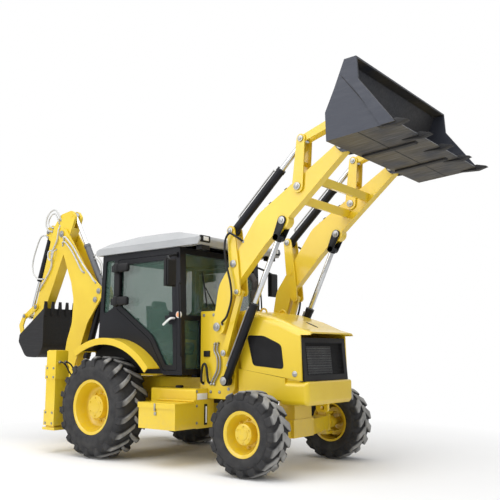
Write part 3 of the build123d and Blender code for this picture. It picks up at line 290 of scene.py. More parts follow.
    @staticmethod
    def path(name: str, points: Sequence[Point], radius: float, smooth: bool = True) -> bpy.types.Object:
        """A round line along a smooth route, as a curve of one open spline.

        Args:
            name: The piece's name.
            points: Control points of the route.
            radius: Radius of the line.
            smooth: True for a curved route, False for straight runs.

        Returns:
            The curve.
        """
        Bench.clear()
        bpy.ops.curve.primitive_nurbs_path_add(location=(0.0, 0.0, 0.0))
        obj = bpy.context.active_object
        curve = obj.data
        curve.splines.clear()
        spline = curve.splines.new("NURBS" if smooth else "POLY")
        spline.points.add(len(points) - 1)
        for knot, place in zip(spline.points, points):
            knot.co = (*place, 1.0)
        if smooth:
            spline.order_u = 3
            spline.use_endpoint_u = True
            spline.resolution_u = 8
        curve.dimensions = "3D"
        curve.bevel_depth = radius
        curve.bevel_resolution = 3
        curve.use_fill_caps = True
        obj.name = name
        curve.name = name
        return obj

    @staticmethod
    def pipe(name: str, points: Sequence[Point], radius: float, smooth: bool = True) -> bpy.types.Object:
        """A bent pipe along a route, as a mesh."""
        obj = Bench.path(name, points, radius, smooth)
        Bench.pick(obj)
        bpy.ops.object.convert(target="MESH")
        obj = Bench.settle(name)
        Bench.close_up(obj)
        return Bench.smooth(obj)

    @staticmethod
    def join(name: str, parts: Sequence[bpy.types.Object]) -> bpy.types.Object:
        """Joins several meshes into one piece."""
        Bench.clear()
        for part in parts:
            part.select_set(True)
        bpy.context.view_layer.objects.active = parts[0]
        if len(parts) > 1:
            bpy.ops.object.join()
        return Bench.settle(name)

    @staticmethod
    def copy(obj: bpy.types.Object, move: Matrix) -> bpy.types.Object:
        """A copy with its own mesh, moved by a matrix."""
        Bench.pick(obj)
        bpy.ops.object.duplicate(linked=False)
        twin = bpy.context.active_object
        twin.data.transform(move)
        if move.determinant() < 0:
            twin.data.flip_normals()
        return twin

    @staticmethod
    def ring_of(obj: bpy.types.Object, count: int, centre: Point, axis: Axis) -> list[bpy.types.Object]:
        """A piece and its copies, evenly turned about an axis.

        Args:
            obj: The piece, kept as the first of the ring.
            count: How many stand in the ring.
            centre: A point of the axis.
            axis: The axis turned about.

        Returns:
            All pieces of the ring.
        """
        middle = Matrix.Translation(Vector(centre))
        made = [obj]
        for index in range(1, count):
            turn = Matrix.Rotation(math.tau * index / count, 4, Vector(axis.value))
            made.append(Bench.copy(obj, middle @ turn @ middle.inverted()))
        return made

    @staticmethod
    def reshape(obj: bpy.types.Object, rule: Callable[[Vector], Vector]) -> None:
        """Moves each point of a piece to where a rule puts it."""
        for vertex in obj.data.vertices:
            vertex.co = rule(vertex.co)
        obj.data.update()


class Graph:
    """A material's node graph, built step by step."""

    def __init__(self, name: str) -> None:
        """Starts a material with an empty graph and one shader."""
        self.material = bpy.data.materials.new(name)
        self.material.use_nodes = True
        self.tree = self.material.node_tree
        self.shader = self.tree.nodes["Principled BSDF"]
        self.output = self.tree.nodes["Material Output"]
        self.place = self.tree.nodes.new("ShaderNodeTexCoord").outputs["Object"]

    def add(self, kind: str, **settings: object) -> bpy.types.Node:
        """Adds a node and sets its properties."""
        node = self.tree.nodes.new(kind)
        for key, value in settings.items():
            setattr(node, key, value)
        return node

    def link(self, source: bpy.types.NodeSocket, target: bpy.types.NodeSocket) -> None:
        """Links two sockets."""
        self.tree.links.new(source, target)

    def put(self, target: bpy.types.NodeSocket, value: object) -> None:
        """Links a socket to a target, or sets the target to a number or colour."""
        if isinstance(value, bpy.types.NodeSocket):
            self.link(value, target)
        else:
            target.default_value = value

    def noise(self, scale: float, detail: float = 3.0,
              stretch: Point = (1.0, 1.0, 1.0)) -> bpy.types.NodeSocket:
        """Noise on the piece's own coordinates, from 0 to 1."""
        mapping = self.add("ShaderNodeMapping")
        mapping.inputs["Scale"].default_value = stretch
        self.link(self.place, mapping.inputs["Vector"])
        node = self.add("ShaderNodeTexNoise")
        node.inputs["Scale"].default_value = scale
        node.inputs["Detail"].default_value = detail
        self.link(mapping.outputs["Vector"], node.inputs["Vector"])
        return node.outputs["Fac"]

    def span(self, value: bpy.types.NodeSocket, low: float, high: float,
             out_low: float = 0.0, out_high: float = 1.0) -> bpy.types.NodeSocket:
        """Maps a range of values onto another, with the ends held."""
        node = self.add("ShaderNodeMapRange", clamp=True)
        self.link(value, node.inputs["Value"])
        for key, number in (("From Min", low), ("From Max", high), ("To Min", out_low),
                            ("To Max", out_high)):
            node.inputs[key].default_value = number
        return node.outputs["Result"]

    def math(self, operation: str, first: object, second: object = 0.0) -> bpy.types.NodeSocket:
        """One sum of two values."""
        node = self.add("ShaderNodeMath", operation=operation)
        self.put(node.inputs[0], first)
        self.put(node.inputs[1], second)
        return node.outputs["Value"]

    def blend(self, share: object, first: object, second: object) -> bpy.types.NodeSocket:
        """Mixes two colours by a share."""
        node = self.add("ShaderNodeMix", data_type="RGBA")
        self.put(node.inputs[0], share)
        for socket, value in ((node.inputs[6], first), (node.inputs[7], second)):
            self.put(socket, (*value, 1.0) if isinstance(value, tuple) else value)
        return node.outputs[2]

    def parts(self, vector: bpy.types.NodeSocket) -> bpy.types.Node:
        """Splits a vector into its three numbers."""
        node = self.add("ShaderNodeSeparateXYZ")
        self.link(vector, node.inputs["Vector"])
        return node

    def upward(self) -> bpy.types.NodeSocket:
        """How far a face looks up, from -1 to 1."""
        return self.parts(self.add("ShaderNodeNewGeometry").outputs["Normal"]).outputs["Z"]

    def bump(self, height: bpy.types.NodeSocket, strength: float, distance: float) -> None:
        """Bumps the shader's surface by a height."""
        node = self.add("ShaderNodeBump")
        node.inputs["Strength"].default_value = strength
        node.inputs["Distance"].default_value = distance
        self.link(height, node.inputs["Height"])
        self.link(node.outputs["Normal"], self.shader.inputs["Normal"])

    def set(self, **values: object) -> None:
        """Sets the shader's own sockets, with underscores for spaces."""
        for key, value in values.items():
            self.put(self.shader.inputs[key.replace("_", " ")], value)


@dataclass(frozen=True)
class Paint:
    """Sprayed paint with soft shade changes, dust on what looks up and road dirt low down."""

    name: str
    colour: Colour
    shade: Colour
    dust: Colour = (0.42, 0.36, 0.27)
    dust_share: float = 0.16
    roughness: float = 0.36
    gloss_spread: float = 0.12
    metallic: float = 0.0
    peel: float = 0.03
    dirt_top: float = 0.75
    specular: float = 0.5
    coat: float = 0.0

    def make(self) -> bpy.types.Material:
        """Builds the material.

        Returns:
            The material.
        """
        graph = Graph(self.name)
        broad = graph.noise(1.6, 4.0)
        fine = graph.noise(26.0, 5.0)
        colour = graph.blend(graph.span(broad, 0.35, 0.68), self.colour, self.shade)
        height = graph.parts(graph.place).outputs["Z"]
        low = graph.span(height, 0.25, self.dirt_top, 1.0, 0.0)
        top = graph.span(graph.upward(), 0.35, 1.0)
        patch = graph.span(fine, 0.42, 0.66)
        share = graph.math("MULTIPLY", graph.math("MAXIMUM", low, graph.math("MULTIPLY", top, 0.45)), patch)
        share = graph.math("MULTIPLY", share, self.dust_share)
        graph.set(Base_Color=graph.blend(share, colour, self.dust), Metallic=self.metallic)
        graph.set(Specular_IOR_Level=self.specular, Coat_Weight=self.coat, Coat_Roughness=0.12)
        rough = graph.span(fine, 0.3, 0.7, self.roughness, self.roughness + self.gloss_spread)
        graph.set(Roughness=graph.math("ADD", rough, graph.math("MULTIPLY", share, 0.6)))
        graph.bump(graph.noise(420.0, 2.0), self.peel, 0.002)
        return graph.material


@dataclass(frozen=True)
class WornSteel:
    """Dark painted steel with scuffs, dust and dull scratches along the digging way, and painted shade on
    faces that don't look sideways.
    """

    name: str
    colour: Colour
    scuff: Colour
    dust: Colour
    roughness: float = 0.5
    under_dust: float = 0.55

    def make(self) -> bpy.types.Material:
        """Builds the material.

        Returns:
            The material.
        """
        graph = Graph(self.name)
        broad = graph.noise(2.2, 5.0)
        streak = graph.noise(14.0, 6.0, (0.25, 3.0, 3.0))
        fine = graph.noise(90.0, 3.0)
        colour = graph.blend(graph.span(streak, 0.52, 0.75, 0.0, 0.7), self.colour, self.scuff)
        # Painted shade: faces that don't look along Y are darkened towards 0.45 of the colour, and only the
        # flanks keep it full.
        across = graph.parts(graph.add("ShaderNodeNewGeometry").outputs["Normal"]).outputs["Y"]
        flank = graph.span(graph.math("ABSOLUTE", across), 0.5, 0.9)
        shadow = tuple(0.45 * part for part in self.colour)
        colour = graph.blend(flank, graph.blend(0.75, colour, shadow), colour)
        down = graph.span(graph.upward(), -0.25, -0.9)
        up = graph.span(graph.upward(), 0.4, 1.0, 0.0, 0.5)
        share = graph.math("MULTIPLY", graph.math("MAXIMUM", down, up), graph.span(broad, 0.3, 0.62))
        share = graph.math("MULTIPLY", share, self.under_dust)
        graph.set(Base_Color=graph.blend(share, colour, self.dust))
        graph.set(Roughness=graph.span(streak, 0.3, 0.7, self.roughness - 0.12, self.roughness + 0.18))
        graph.set(Specular_IOR_Level=0.3)
        graph.bump(graph.math("ADD", fine, graph.math("MULTIPLY", streak, 0.6)), 0.12, 0.003)
        return graph.material


@dataclass(frozen=True)
class Metal:
    """Bare or plated metal with a fine lengthwise polish."""

    name: str
    colour: Colour
    roughness: float = 0.16
    grime: float = 0.25

    def make(self) -> bpy.types.Material:
        """Builds the material.

        Returns:
            The material.
        """
        graph = Graph(self.name)
        polish = graph.noise(160.0, 2.0)
        film = graph.noise(7.0, 4.0)
        dull = tuple(0.45 * part for part in self.colour)
        share = graph.math("MULTIPLY", graph.span(film, 0.5, 0.8), self.grime)
        graph.set(Base_Color=graph.blend(share, self.colour, dull), Metallic=1.0)
        graph.set(Roughness=graph.span(film, 0.3, 0.75, self.roughness, self.roughness + 0.16))
        graph.bump(polish, 0.02, 0.001)
        return graph.material


@dataclass(frozen=True)
class Plastic:
    """Moulded plastic or rubber trim with a fine pebble grain."""

    name: str
    colour: Colour
    roughness: float = 0.55
    grain: float = 700.0
    depth: float = 0.15

    def make(self) -> bpy.types.Material:
        """Builds the material.

        Returns:
            The material.
        """
        graph = Graph(self.name)
        cloud = graph.noise(5.0, 4.0)
        pale = tuple(min(1.0, part * 1.7 + 0.005) for part in self.colour)
        graph.set(Base_Color=graph.blend(graph.span(cloud, 0.4, 0.75, 0.0, 0.6), self.colour, pale))
        graph.set(Roughness=graph.span(cloud, 0.3, 0.7, self.roughness - 0.06, self.roughness + 0.1))
        graph.set(Specular_IOR_Level=0.25)
        graph.bump(graph.noise(self.grain, 1.0), self.depth, 0.0008)
        return graph.material


@dataclass(frozen=True)
class Pane:
    """Tinted safety glass with a light film of dust."""

    name: str
    tint: Colour
    alpha: float = 0.4

    def make(self) -> bpy.types.Material:
        """Builds the material.

        Returns:
            The material.
        """
        graph = Graph(self.name)
        film = graph.noise(3.0, 5.0)
        pale = tuple(min(1.0, 0.12 + 0.88 * part) for part in self.tint)
        graph.set(Base_Color=graph.blend(graph.span(film, 0.4, 0.75, 0.0, 0.35), self.tint, pale))
        graph.set(Roughness=graph.span(film, 0.3, 0.8, 0.02, 0.09), Alpha=self.alpha, IOR=1.5)
        return graph.material


@dataclass(frozen=True)
class Rubber:
    """Tyre rubber: dark walls with moulded rings, and pale dust on the lugs' tops."""

    name: str
    centre: Point
    tread_from: float
    tread_to: float
    colour: Colour = (0.026, 0.026, 0.028)
    wall: Colour = (0.048, 0.047, 0.047)
    dust: Colour = (0.40, 0.395, 0.38)
    dust_share: float = 0.85

    def make(self) -> bpy.types.Material:
        """Builds the material.

        Returns:
            The material.
        """
        graph = Graph(self.name)
        mapping = graph.add("ShaderNodeMapping")
        mapping.inputs["Location"].default_value = tuple(-part for part in self.centre)
        graph.link(graph.place, mapping.inputs["Vector"])
        split = graph.parts(mapping.outputs["Vector"])
        square = graph.math("ADD", graph.math("POWER", split.outputs["X"], 2.0),
                            graph.math("POWER", split.outputs["Z"], 2.0))
        radius = graph.math("SQRT", square)
        cloud = graph.noise(9.0, 5.0)
        fine = graph.noise(120.0, 3.0)
        base = graph.blend(graph.span(cloud, 0.35, 0.7), self.colour, self.wall)
        tread = graph.span(radius, self.tread_from, self.tread_to)
        patchy = graph.span(cloud, 0.25, 0.6, 0.45, 1.0)
        share = graph.math("MULTIPLY", graph.math("MULTIPLY", tread, patchy), self.dust_share)
        graph.set(Base_Color=graph.blend(share, base, self.dust))
        graph.set(Roughness=graph.span(fine, 0.3, 0.7, 0.62, 0.85), Specular_IOR_Level=0.25)
        rings = graph.math("SINE", graph.math("MULTIPLY", radius, 420.0))
        relief = graph.math("ADD", graph.math("MULTIPLY", rings, 0.12), fine)
        graph.bump(relief, 0.14, 0.003)
        return graph.material


@dataclass(frozen=True)
class Fabric:
    """Woven seat cloth."""

    name: str
    colour: Colour
    thread: Colour

    def make(self) -> bpy.types.Material:
        """Builds the material.

        Returns:
            The material.
        """
        graph = Graph(self.name)
        split = graph.parts(graph.place)
        warp = graph.math("SINE", graph.math("MULTIPLY", split.outputs["Y"], 1800.0))
        weft = graph.math("SINE",
                          graph.math("MULTIPLY", graph.math("ADD", split.outputs["X"], split.outputs["Z"]),
                                     1800.0))
        weave = graph.math("MULTIPLY", warp, weft)
        cloud = graph.noise(8.0, 4.0)
        cloth = graph.blend(graph.span(weave, -0.6, 0.6), self.colour, self.thread)
        dark = tuple(0.6 * part for part in self.colour)
        graph.set(Base_Color=graph.blend(graph.span(cloud, 0.45, 0.8, 0.0, 0.5), cloth, dark))
        graph.set(Roughness=0.9)
        graph.bump(weave, 0.3, 0.001)
        return graph.material


@dataclass(frozen=True)
class Lens:
    """Lamp lens with fine ribs."""

    name: str
    colour: Colour

    def make(self) -> bpy.types.Material:
        """Builds the material.

        Returns:
            The material.
        """
        graph = Graph(self.name)
        split = graph.parts(graph.place)
        ribs = graph.math("SINE", graph.math("MULTIPLY", split.outputs["Y"], 900.0))
        cells = graph.math("MULTIPLY", ribs,
                           graph.math("SINE", graph.math("MULTIPLY", split.outputs["Z"], 900.0)))
        pale = tuple(min(1.0, 0.3 + 0.7 * part) for part in self.colour)
        graph.set(Base_Color=graph.blend(graph.span(cells, -0.8, 0.8), self.colour, pale))
        graph.set(Roughness=0.12, Coat_Weight=0.6)
        graph.bump(cells, 0.35, 0.002)
        return graph.material


@dataclass(frozen=True)
class Screen:
    """Woven wire or pressed fins: pale lines over dark openings, whose colour is painted shade."""

    name: str
    gap: Colour
    wire: Colour
    across: float
    along: float

    def make(self) -> bpy.types.Material:
        """Builds the material.

        Returns:
            The material.
        """
        graph = Graph(self.name)
        split = graph.parts(graph.place)
        level = graph.math("ADD", split.outputs["X"], split.outputs["Y"])
        weft = graph.math("SINE", graph.math("MULTIPLY", level, math.tau / self.across))
        warp = graph.math("SINE", graph.math("MULTIPLY", split.outputs["Z"], math.tau / self.along))
        lines = graph.span(graph.math("MAXIMUM", weft, warp), 0.2, 0.75)
        cloud = graph.noise(4.0, 4.0)
        dusty = tuple(min(1.0, 1.5 * part + 0.01) for part in self.wire)
        wire = graph.blend(graph.span(cloud, 0.4, 0.7), self.wire, dusty)
        # The openings' colour is painted shade from behind the wires and between the fins.
        graph.set(Base_Color=graph.blend(lines, self.gap, wire), Roughness=0.55, Specular_IOR_Level=0.2)
        graph.bump(lines, 0.4, 0.003)
        return graph.material


class Palette:
    """All finishes, made once and looked up by the record's material slot or a detail's name."""

    FINISHES = (
        Paint("yellow_paint", (0.80, 0.575, 0.018), (0.74, 0.505, 0.008), dust_share=0.2, coat=0.6),
        Paint("black_paint", (0.006, 0.0065, 0.009), (0.011, 0.0115, 0.015), (0.10, 0.095, 0.09), 0.15, 0.3,
              0.14, specular=0.2),
        Paint("grey_paint", (0.075, 0.078, 0.09), (0.11, 0.112, 0.12), (0.3, 0.28, 0.25), 0.25, 0.42),
        Paint("roof_grey", (0.40, 0.41, 0.42), (0.33, 0.34, 0.35), (0.6, 0.58, 0.55), 0.5, 0.3),
        Paint("exhaust_steel", (0.02, 0.02, 0.02), (0.05, 0.04, 0.035), (0.2, 0.15, 0.1), 0.3, 0.6),
        Paint("dark_engine", (0.05, 0.05, 0.052), (0.09, 0.085, 0.08), (0.2, 0.17, 0.13), 0.5, 0.6, 0.2,
              0.3),
        WornSteel("worn_steel", (0.050, 0.055, 0.072), (0.080, 0.085, 0.102), (0.105, 0.088, 0.055), 0.5,
                  0.85),
        WornSteel("dark_steel", (0.013, 0.013, 0.015), (0.035, 0.034, 0.033), (0.07, 0.06, 0.045), 0.55,
                  0.35),
        Metal("chrome_rod", (0.60, 0.61, 0.62), 0.14, 0.3),
        Metal("zinc_steel", (0.36, 0.36, 0.35), 0.36, 0.5),
        Plastic("black_plastic", (0.007, 0.007, 0.008)),
        Plastic("hose_rubber", (0.010, 0.010, 0.011), 0.5, 900.0, 0.25),
        Plastic("hose_guard", (0.50, 0.50, 0.49), 0.5, 500.0, 0.3),
        Plastic("white_plastic", (0.75, 0.75, 0.73), 0.4, 600.0, 0.08),
        # The first colour of each screen is painted shade in its openings.
        Screen("vent_mesh", (0.002, 0.002, 0.0025), (0.010, 0.010, 0.012), 0.012, 0.012),
        Screen("radiator_fins", (0.07, 0.072, 0.076), (0.21, 0.215, 0.22), 0.007, 0.028),
        Pane("tinted_glass", (0.055, 0.125, 0.095)),
        Fabric("seat_fabric", (0.022, 0.022, 0.024), (0.045, 0.045, 0.05)),
        Lens("clear_lens", (0.75, 0.76, 0.74)),
        Lens("amber_lens", (0.85, 0.28, 0.02)),
    )

    def __init__(self) -> None:
        """Builds every finish."""
        self.made = {finish.name: finish.make() for finish in self.FINISHES}

    def dress(self, obj: bpy.types.Object, name: str) -> bpy.types.Object:
        """Gives a piece one finish all over."""
        obj.data.materials.clear()
        obj.data.materials.append(self.made[name])
        return obj

    def dress_solids(self) -> None:
        """Gives every solid of the frame the finish that its record names."""
        for row in frame["record"]["subparts"]:
            slot = row["material_slot"]
            finish = slot if slot in self.made else "black_plastic"
            self.dress(frame["nodes"][row["node"]], finish)


PALETTE = Palette()
SLOTS = {row["slot"] for row in frame["record"]["materials"]}


def fit(obj: bpy.types.Object, body: str, finish: str, stands_for: Sequence[str] = (),
        slot: Optional[str] = None) -> bpy.types.Object:
    """Finishes a new piece and lets it ride on a body.

    Args:
        obj: The piece.
        body: The body that carries it.
        finish: Name of its finish.
        stands_for: Solids of the frame that it replaces.
        slot: The record's slot, where the finish isn't a slot itself; not used.

    Returns:
        The piece.
    """
    PALETTE.dress(obj, finish)
    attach(obj, body)
    if slot is not None or finish in SLOTS:
        slot or finish
    if stands_for:
        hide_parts(*stands_for)
    LOG.info("piece %s rides on %s", obj.name, body)
    return obj


class Tread(Enum):
    """How a tyre's lugs are laid."""

    BLOCK = "block"
    CHEVRON = "chevron"


@dataclass
class Wheel:
    """One wheel: a tyre with its lugs, and a dished rim with its nuts and hub."""

    title: str
    side: Side
    centre: Point
    radius: float
    width: float
    rim_radius: float
    lug_height: float
    lugs: int
    tread: Tread
    dish: float
    hub_radius: float
    hub_out: float
    nuts: int
    steps: int = 72

    @property
    def name(self) -> str:
        """The wheel's name with its side."""
        return f"{self.title}_{self.side.word}"

    @property
    def body(self) -> str:
        """The body that the wheel is."""
        return f"{self.title}_wheel_{self.side.word}"

    def carcass(self) -> bpy.types.Object:
        """The tyre without lugs.

        Returns:
            The turned casing.
        """
        half = self.width / 2
        crown = self.radius - self.lug_height
        seat = self.rim_radius - 0.02
        rise = crown - self.rim_radius
        profile = [
            (-half + 0.052, seat), (half - 0.052, seat), (half - 0.030, self.rim_radius + 0.010),
            (half - 0.016, self.rim_radius + 0.022), (half - 0.012, self.rim_radius + 0.034),
            (half - 0.004, self.rim_radius + 0.25 * rise), (half, self.rim_radius + 0.5 * rise),
            (half - 0.003, self.rim_radius + 0.62 * rise), (half - 0.008, self.rim_radius + 0.64 * rise),
            (half - 0.012, self.rim_radius + 0.74 * rise), (half - 0.028, self.rim_radius + 0.9 * rise),
            (half - 0.060, crown - 0.006), (half * 0.45, crown), (0.0, crown + 0.003),
        ]
        back = [(-run, height) for run, height in reversed(profile[1:-1])]
        return Bench.turned(f"{self.name}_casing", profile[1:] + back + [profile[1]], self.centre, Axis.Y,
                            self.steps, 1, 50.0)

    def lug(self, hand: int) -> bpy.types.Object:
        """One lug, laid from the tyre's middle over the shoulder.

        Args:
            hand: Sign of the half of the tread that it stands on.

        Returns:
            The lug.
        """
        Bench.clear()
        bpy.ops.mesh.primitive_cube_add(size=1.0)
        obj = Bench.settle(f"{self.name}_lug")
        bpy.ops.object.mode_set(mode="EDIT")
        bpy.ops.mesh.select_all(action="SELECT")
        bpy.ops.mesh.subdivide(number_cuts=3)
        bpy.ops.object.mode_set(mode="OBJECT")
        half = self.width / 2
        crown = self.radius - self.lug_height
        block = self.tread is Tread.BLOCK
        thick = self.radius * (0.255 if block else 0.105)
        sweep = self.radius * (0.20 if block else 0.36)

        def rule(place: Vector) -> Vector:
            """Lays a point of the unit cube on the tread."""
            run = place.y + 0.5
            up = place.z + 0.5
            across = hand * (-0.07 * half + run * (half * 1.055))
            if block:
                step = sweep * (0.30 * run + 0.70 * min(1.0, max(0.0, (run - 0.30) / 0.35)))
            else:
                step = sweep * (run - 0.28 * run * run)
            slim = 1.0 - 0.22 * up
            grow = 1.0 + (0.05 if block else 0.40) * run
            arc = step + place.x * thick * slim * grow
            drop = max(0.0, run - 0.72) / 0.28
            top = self.radius - 0.05 * self.radius * drop * drop
            foot = crown - 0.012 - 0.30 * (crown - self.rim_radius) * drop
            height = foot + (top - foot) * up
            inward = 0.010 * half * drop * up
            turn = arc / self.radius
            return Vector((height * math.sin(turn), across - hand * inward, height * math.cos(turn)))

        Bench.reshape(obj, rule)
        Bench.close_up(obj)
        Bench.round_off(obj, 0.006, 1, 50.0)
        obj.data.transform(Matrix.Translation(Vector(self.centre)))
        return Bench.smooth(obj, 55.0)

    def tyre(self) -> bpy.types.Object:
        """The whole tyre.

        Returns:
            The tyre, in place of the frame's solid.
        """
        parts = [self.carcass()]
        centre = Matrix.Translation(Vector(self.centre))
        for hand in (1, -1):
            lug = self.lug(hand)
            if hand < 0:
                turn = Matrix.Rotation(math.pi / self.lugs, 4, "Y")
                lug.data.transform(centre @ turn @ centre.inverted())
            parts += Bench.ring_of(lug, self.lugs, self.centre, Axis.Y)
        tyre = Bench.join(f"{self.name}_tyre_tread", parts)
        finish = f"{self.title}_rubber"
        if finish not in PALETTE.made:
            crown = self.radius - self.lug_height
            PALETTE.made[finish] = Rubber(finish, self.centre, crown + 0.3 * self.lug_height,
                                          self.radius - 0.1 * self.lug_height).make()
        return fit(tyre, self.body, finish, [f"{self.title}_tyre_{self.side.word}"], "rubber")

    def rim(self) -> bpy.types.Object:
        """The dished rim with its flanges, disc, hub and nuts.

        Returns:
            The rim, in place of the frame's solid.
        """
        half = self.width / 2 - 0.046
        lip = self.rim_radius
        well = self.rim_radius - 0.030
        hub = self.hub_radius
        profile = [
            (-half - 0.010, lip + 0.004), (-half, lip - 0.024), (-half + 0.05, well), (half - 0.075, well),
            (half - 0.045, lip - 0.026), (half - 0.012, lip - 0.022), (half - 0.002, lip - 0.006),
            (half + 0.010, lip + 0.008), (half + 0.016, lip + 0.004), (half + 0.014, lip - 0.012),
            (half + 0.002, lip - 0.032), (half - 0.030, lip - 0.042), (half - 0.055, lip - 0.050),
            (self.dish + 0.050, lip - 0.064), (self.dish + 0.020, lip - 0.078),
            (self.dish + 0.004, lip - 0.100), (self.dish, hub + 0.055), (self.dish + 0.010, hub + 0.030),
            (self.dish + 0.012, hub + 0.006), (self.dish + 0.030, hub), (self.hub_out - 0.012, hub * 0.98),
            (self.hub_out - 0.003, hub * 0.95), (self.hub_out, hub * 0.90), (self.hub_out, hub * 0.55),
            (self.hub_out + 0.006, hub * 0.50), (self.hub_out + 0.008, hub * 0.30),
            (self.hub_out + 0.008, 0.0),
        ]
        hand = self.side.value
        parts = [Bench.turned(f"{self.name}_disc", profile, self.centre, Axis.Y, self.steps, hand)]
        middle = Vector(self.centre)
        face = middle + Vector((0.0, hand * (self.dish + 0.008), hub + 0.032))
        stud = Bench.bar(f"{self.name}_stud", face, face + Vector((0.0, hand * 0.036, 0.0)), 0.008, 10,
                         0.002)
        nut = Bench.bar(f"{self.name}_nut", face, face + Vector((0.0, hand * 0.022, 0.0)), 0.017, 6, 0.003)
        parts += Bench.ring_of(Bench.join(f"{self.name}_wheel_nut", [stud, nut]), self.nuts, self.centre,
                               Axis.Y)
        bolt = middle + Vector((0.0, hand * self.hub_out, hub * 0.74))
        head = Bench.bar(f"{self.name}_cap_bolt", bolt, bolt + Vector((0.0, hand * 0.010, 0.0)), 0.010, 6,
                         0.002)
        parts += Bench.ring_of(head, 6, self.centre, Axis.Y)
        rim = Bench.join(f"{self.name}_rim_disc", parts)
        return fit(rim, self.body, "yellow_paint", [f"{self.title}_rim_{self.side.word}"])

    def build(self) -> None:
        """Builds the tyre and the rim."""
        self.tyre()
        self.rim()


@dataclass
class RunningGear:
    """The four wheels."""

    front_x: float = fore(2.400)
    rear_x: float = fore(0.0)
    front_y: float = 0.895
    rear_y: float = 0.910
    front_radius: float = 0.460
    rear_radius: float = 0.640

    def build(self) -> None:
        """Builds the wheels of both sides."""
        for side in Side:
            front = (self.front_x, side.value * self.front_y, self.front_radius)
            rear = (self.rear_x, side.value * self.rear_y, self.rear_radius)
            Wheel("front", side, front, self.front_radius, 0.350, 0.245, 0.028, 16, Tread.BLOCK,
                  -0.004, 0.118, 0.112, 8).build()
            Wheel("rear", side, rear, self.rear_radius, 0.480, 0.342, 0.040, 18, Tread.CHEVRON,
                  0.020, 0.152, 0.132, 10).build()


def at(x: float, y: float, z: float) -> Vector:
    """A point of the frame from a place given forward from the rear axle."""
    return Vector((fore(x), y, z))


def heading(start: tuple[float, float], end: tuple[float, float]) -> Vector:
    """Unit vector from one place to another, both as (x, z)."""
    return Vector((end[0] - start[0], 0.0, end[1] - start[1])).normalized()


def flank_block(name: str, hand: int, low: Point, high: Point, edge: float,
                segments: int = 2) -> bpy.types.Object:
    """A block given by its corners on the left, put on either side.

    Args:
        name: The piece's name.
        hand: Sign of the side.
        low: Lowest corner on the left, forward from the rear axle.
        high: Highest corner on the left.
        edge: Width of the edges' rounding.
        segments: Facets across the rounding.

    Returns:
        The piece.
    """
    near, far = sorted((hand * low[1], hand * high[1]))
    return Bench.block(name, at(low[0], near, low[2]), at(high[0], far, high[2]), edge, segments)


def strap_outline(start: tuple[float, float], end: tuple[float, float], r_start: float, r_end: float,
                  steps: int = 10) -> list[tuple[float, float]]:
    """Outline of a flat link with round ends, in frame X and Z.

    Args:
        start: Centre of one end, forward from the rear axle and up.
        end: Centre of the other end.
        r_start: Radius of the first end.
        r_end: Radius of the second end.
        steps: Facets round each end.

    Returns:
        Corners in order.
    """
    heading = math.atan2(end[1] - start[1], end[0] - start[0])
    lean = math.acos((r_start - r_end) / math.dist(start, end))
    corners = []
    for centre, radius, first, last in ((end, r_end, -lean, lean), (start, r_start, lean, math.tau - lean)):
        for index in range(steps + 1):
            turn = heading + first + (last - first) * index / steps
            corners.append((fore(centre[0] + radius * math.cos(turn)), centre[1] + radius * math.sin(turn)))
    return corners


def flowing(knots: Sequence[Point], steps: int = 14) -> list[Vector]:
    """Points along a smooth line through knots.

    Args:
        knots: Places that the line goes through.
        steps: Points laid between two knots.

    Returns:
        The points in order.
    """
    ends = [Vector(knot) for knot in knots]
    held = [2 * ends[0] - ends[1]] + ends + [2 * ends[-1] - ends[-2]]
    line = []
    for index in range(1, len(held) - 2):
        before, here, there, after = held[index - 1:index + 3]
        for step in range(steps):
            share = step / steps
            square = share * share
            cube = square * share
            line.append(0.5 * (2 * here + (there - before) * share
                               + (2 * before - 5 * here + 4 * there - after) * square
                               + (3 * here - before - 3 * there + after) * cube))
    line.append(ends[-1])
    return line


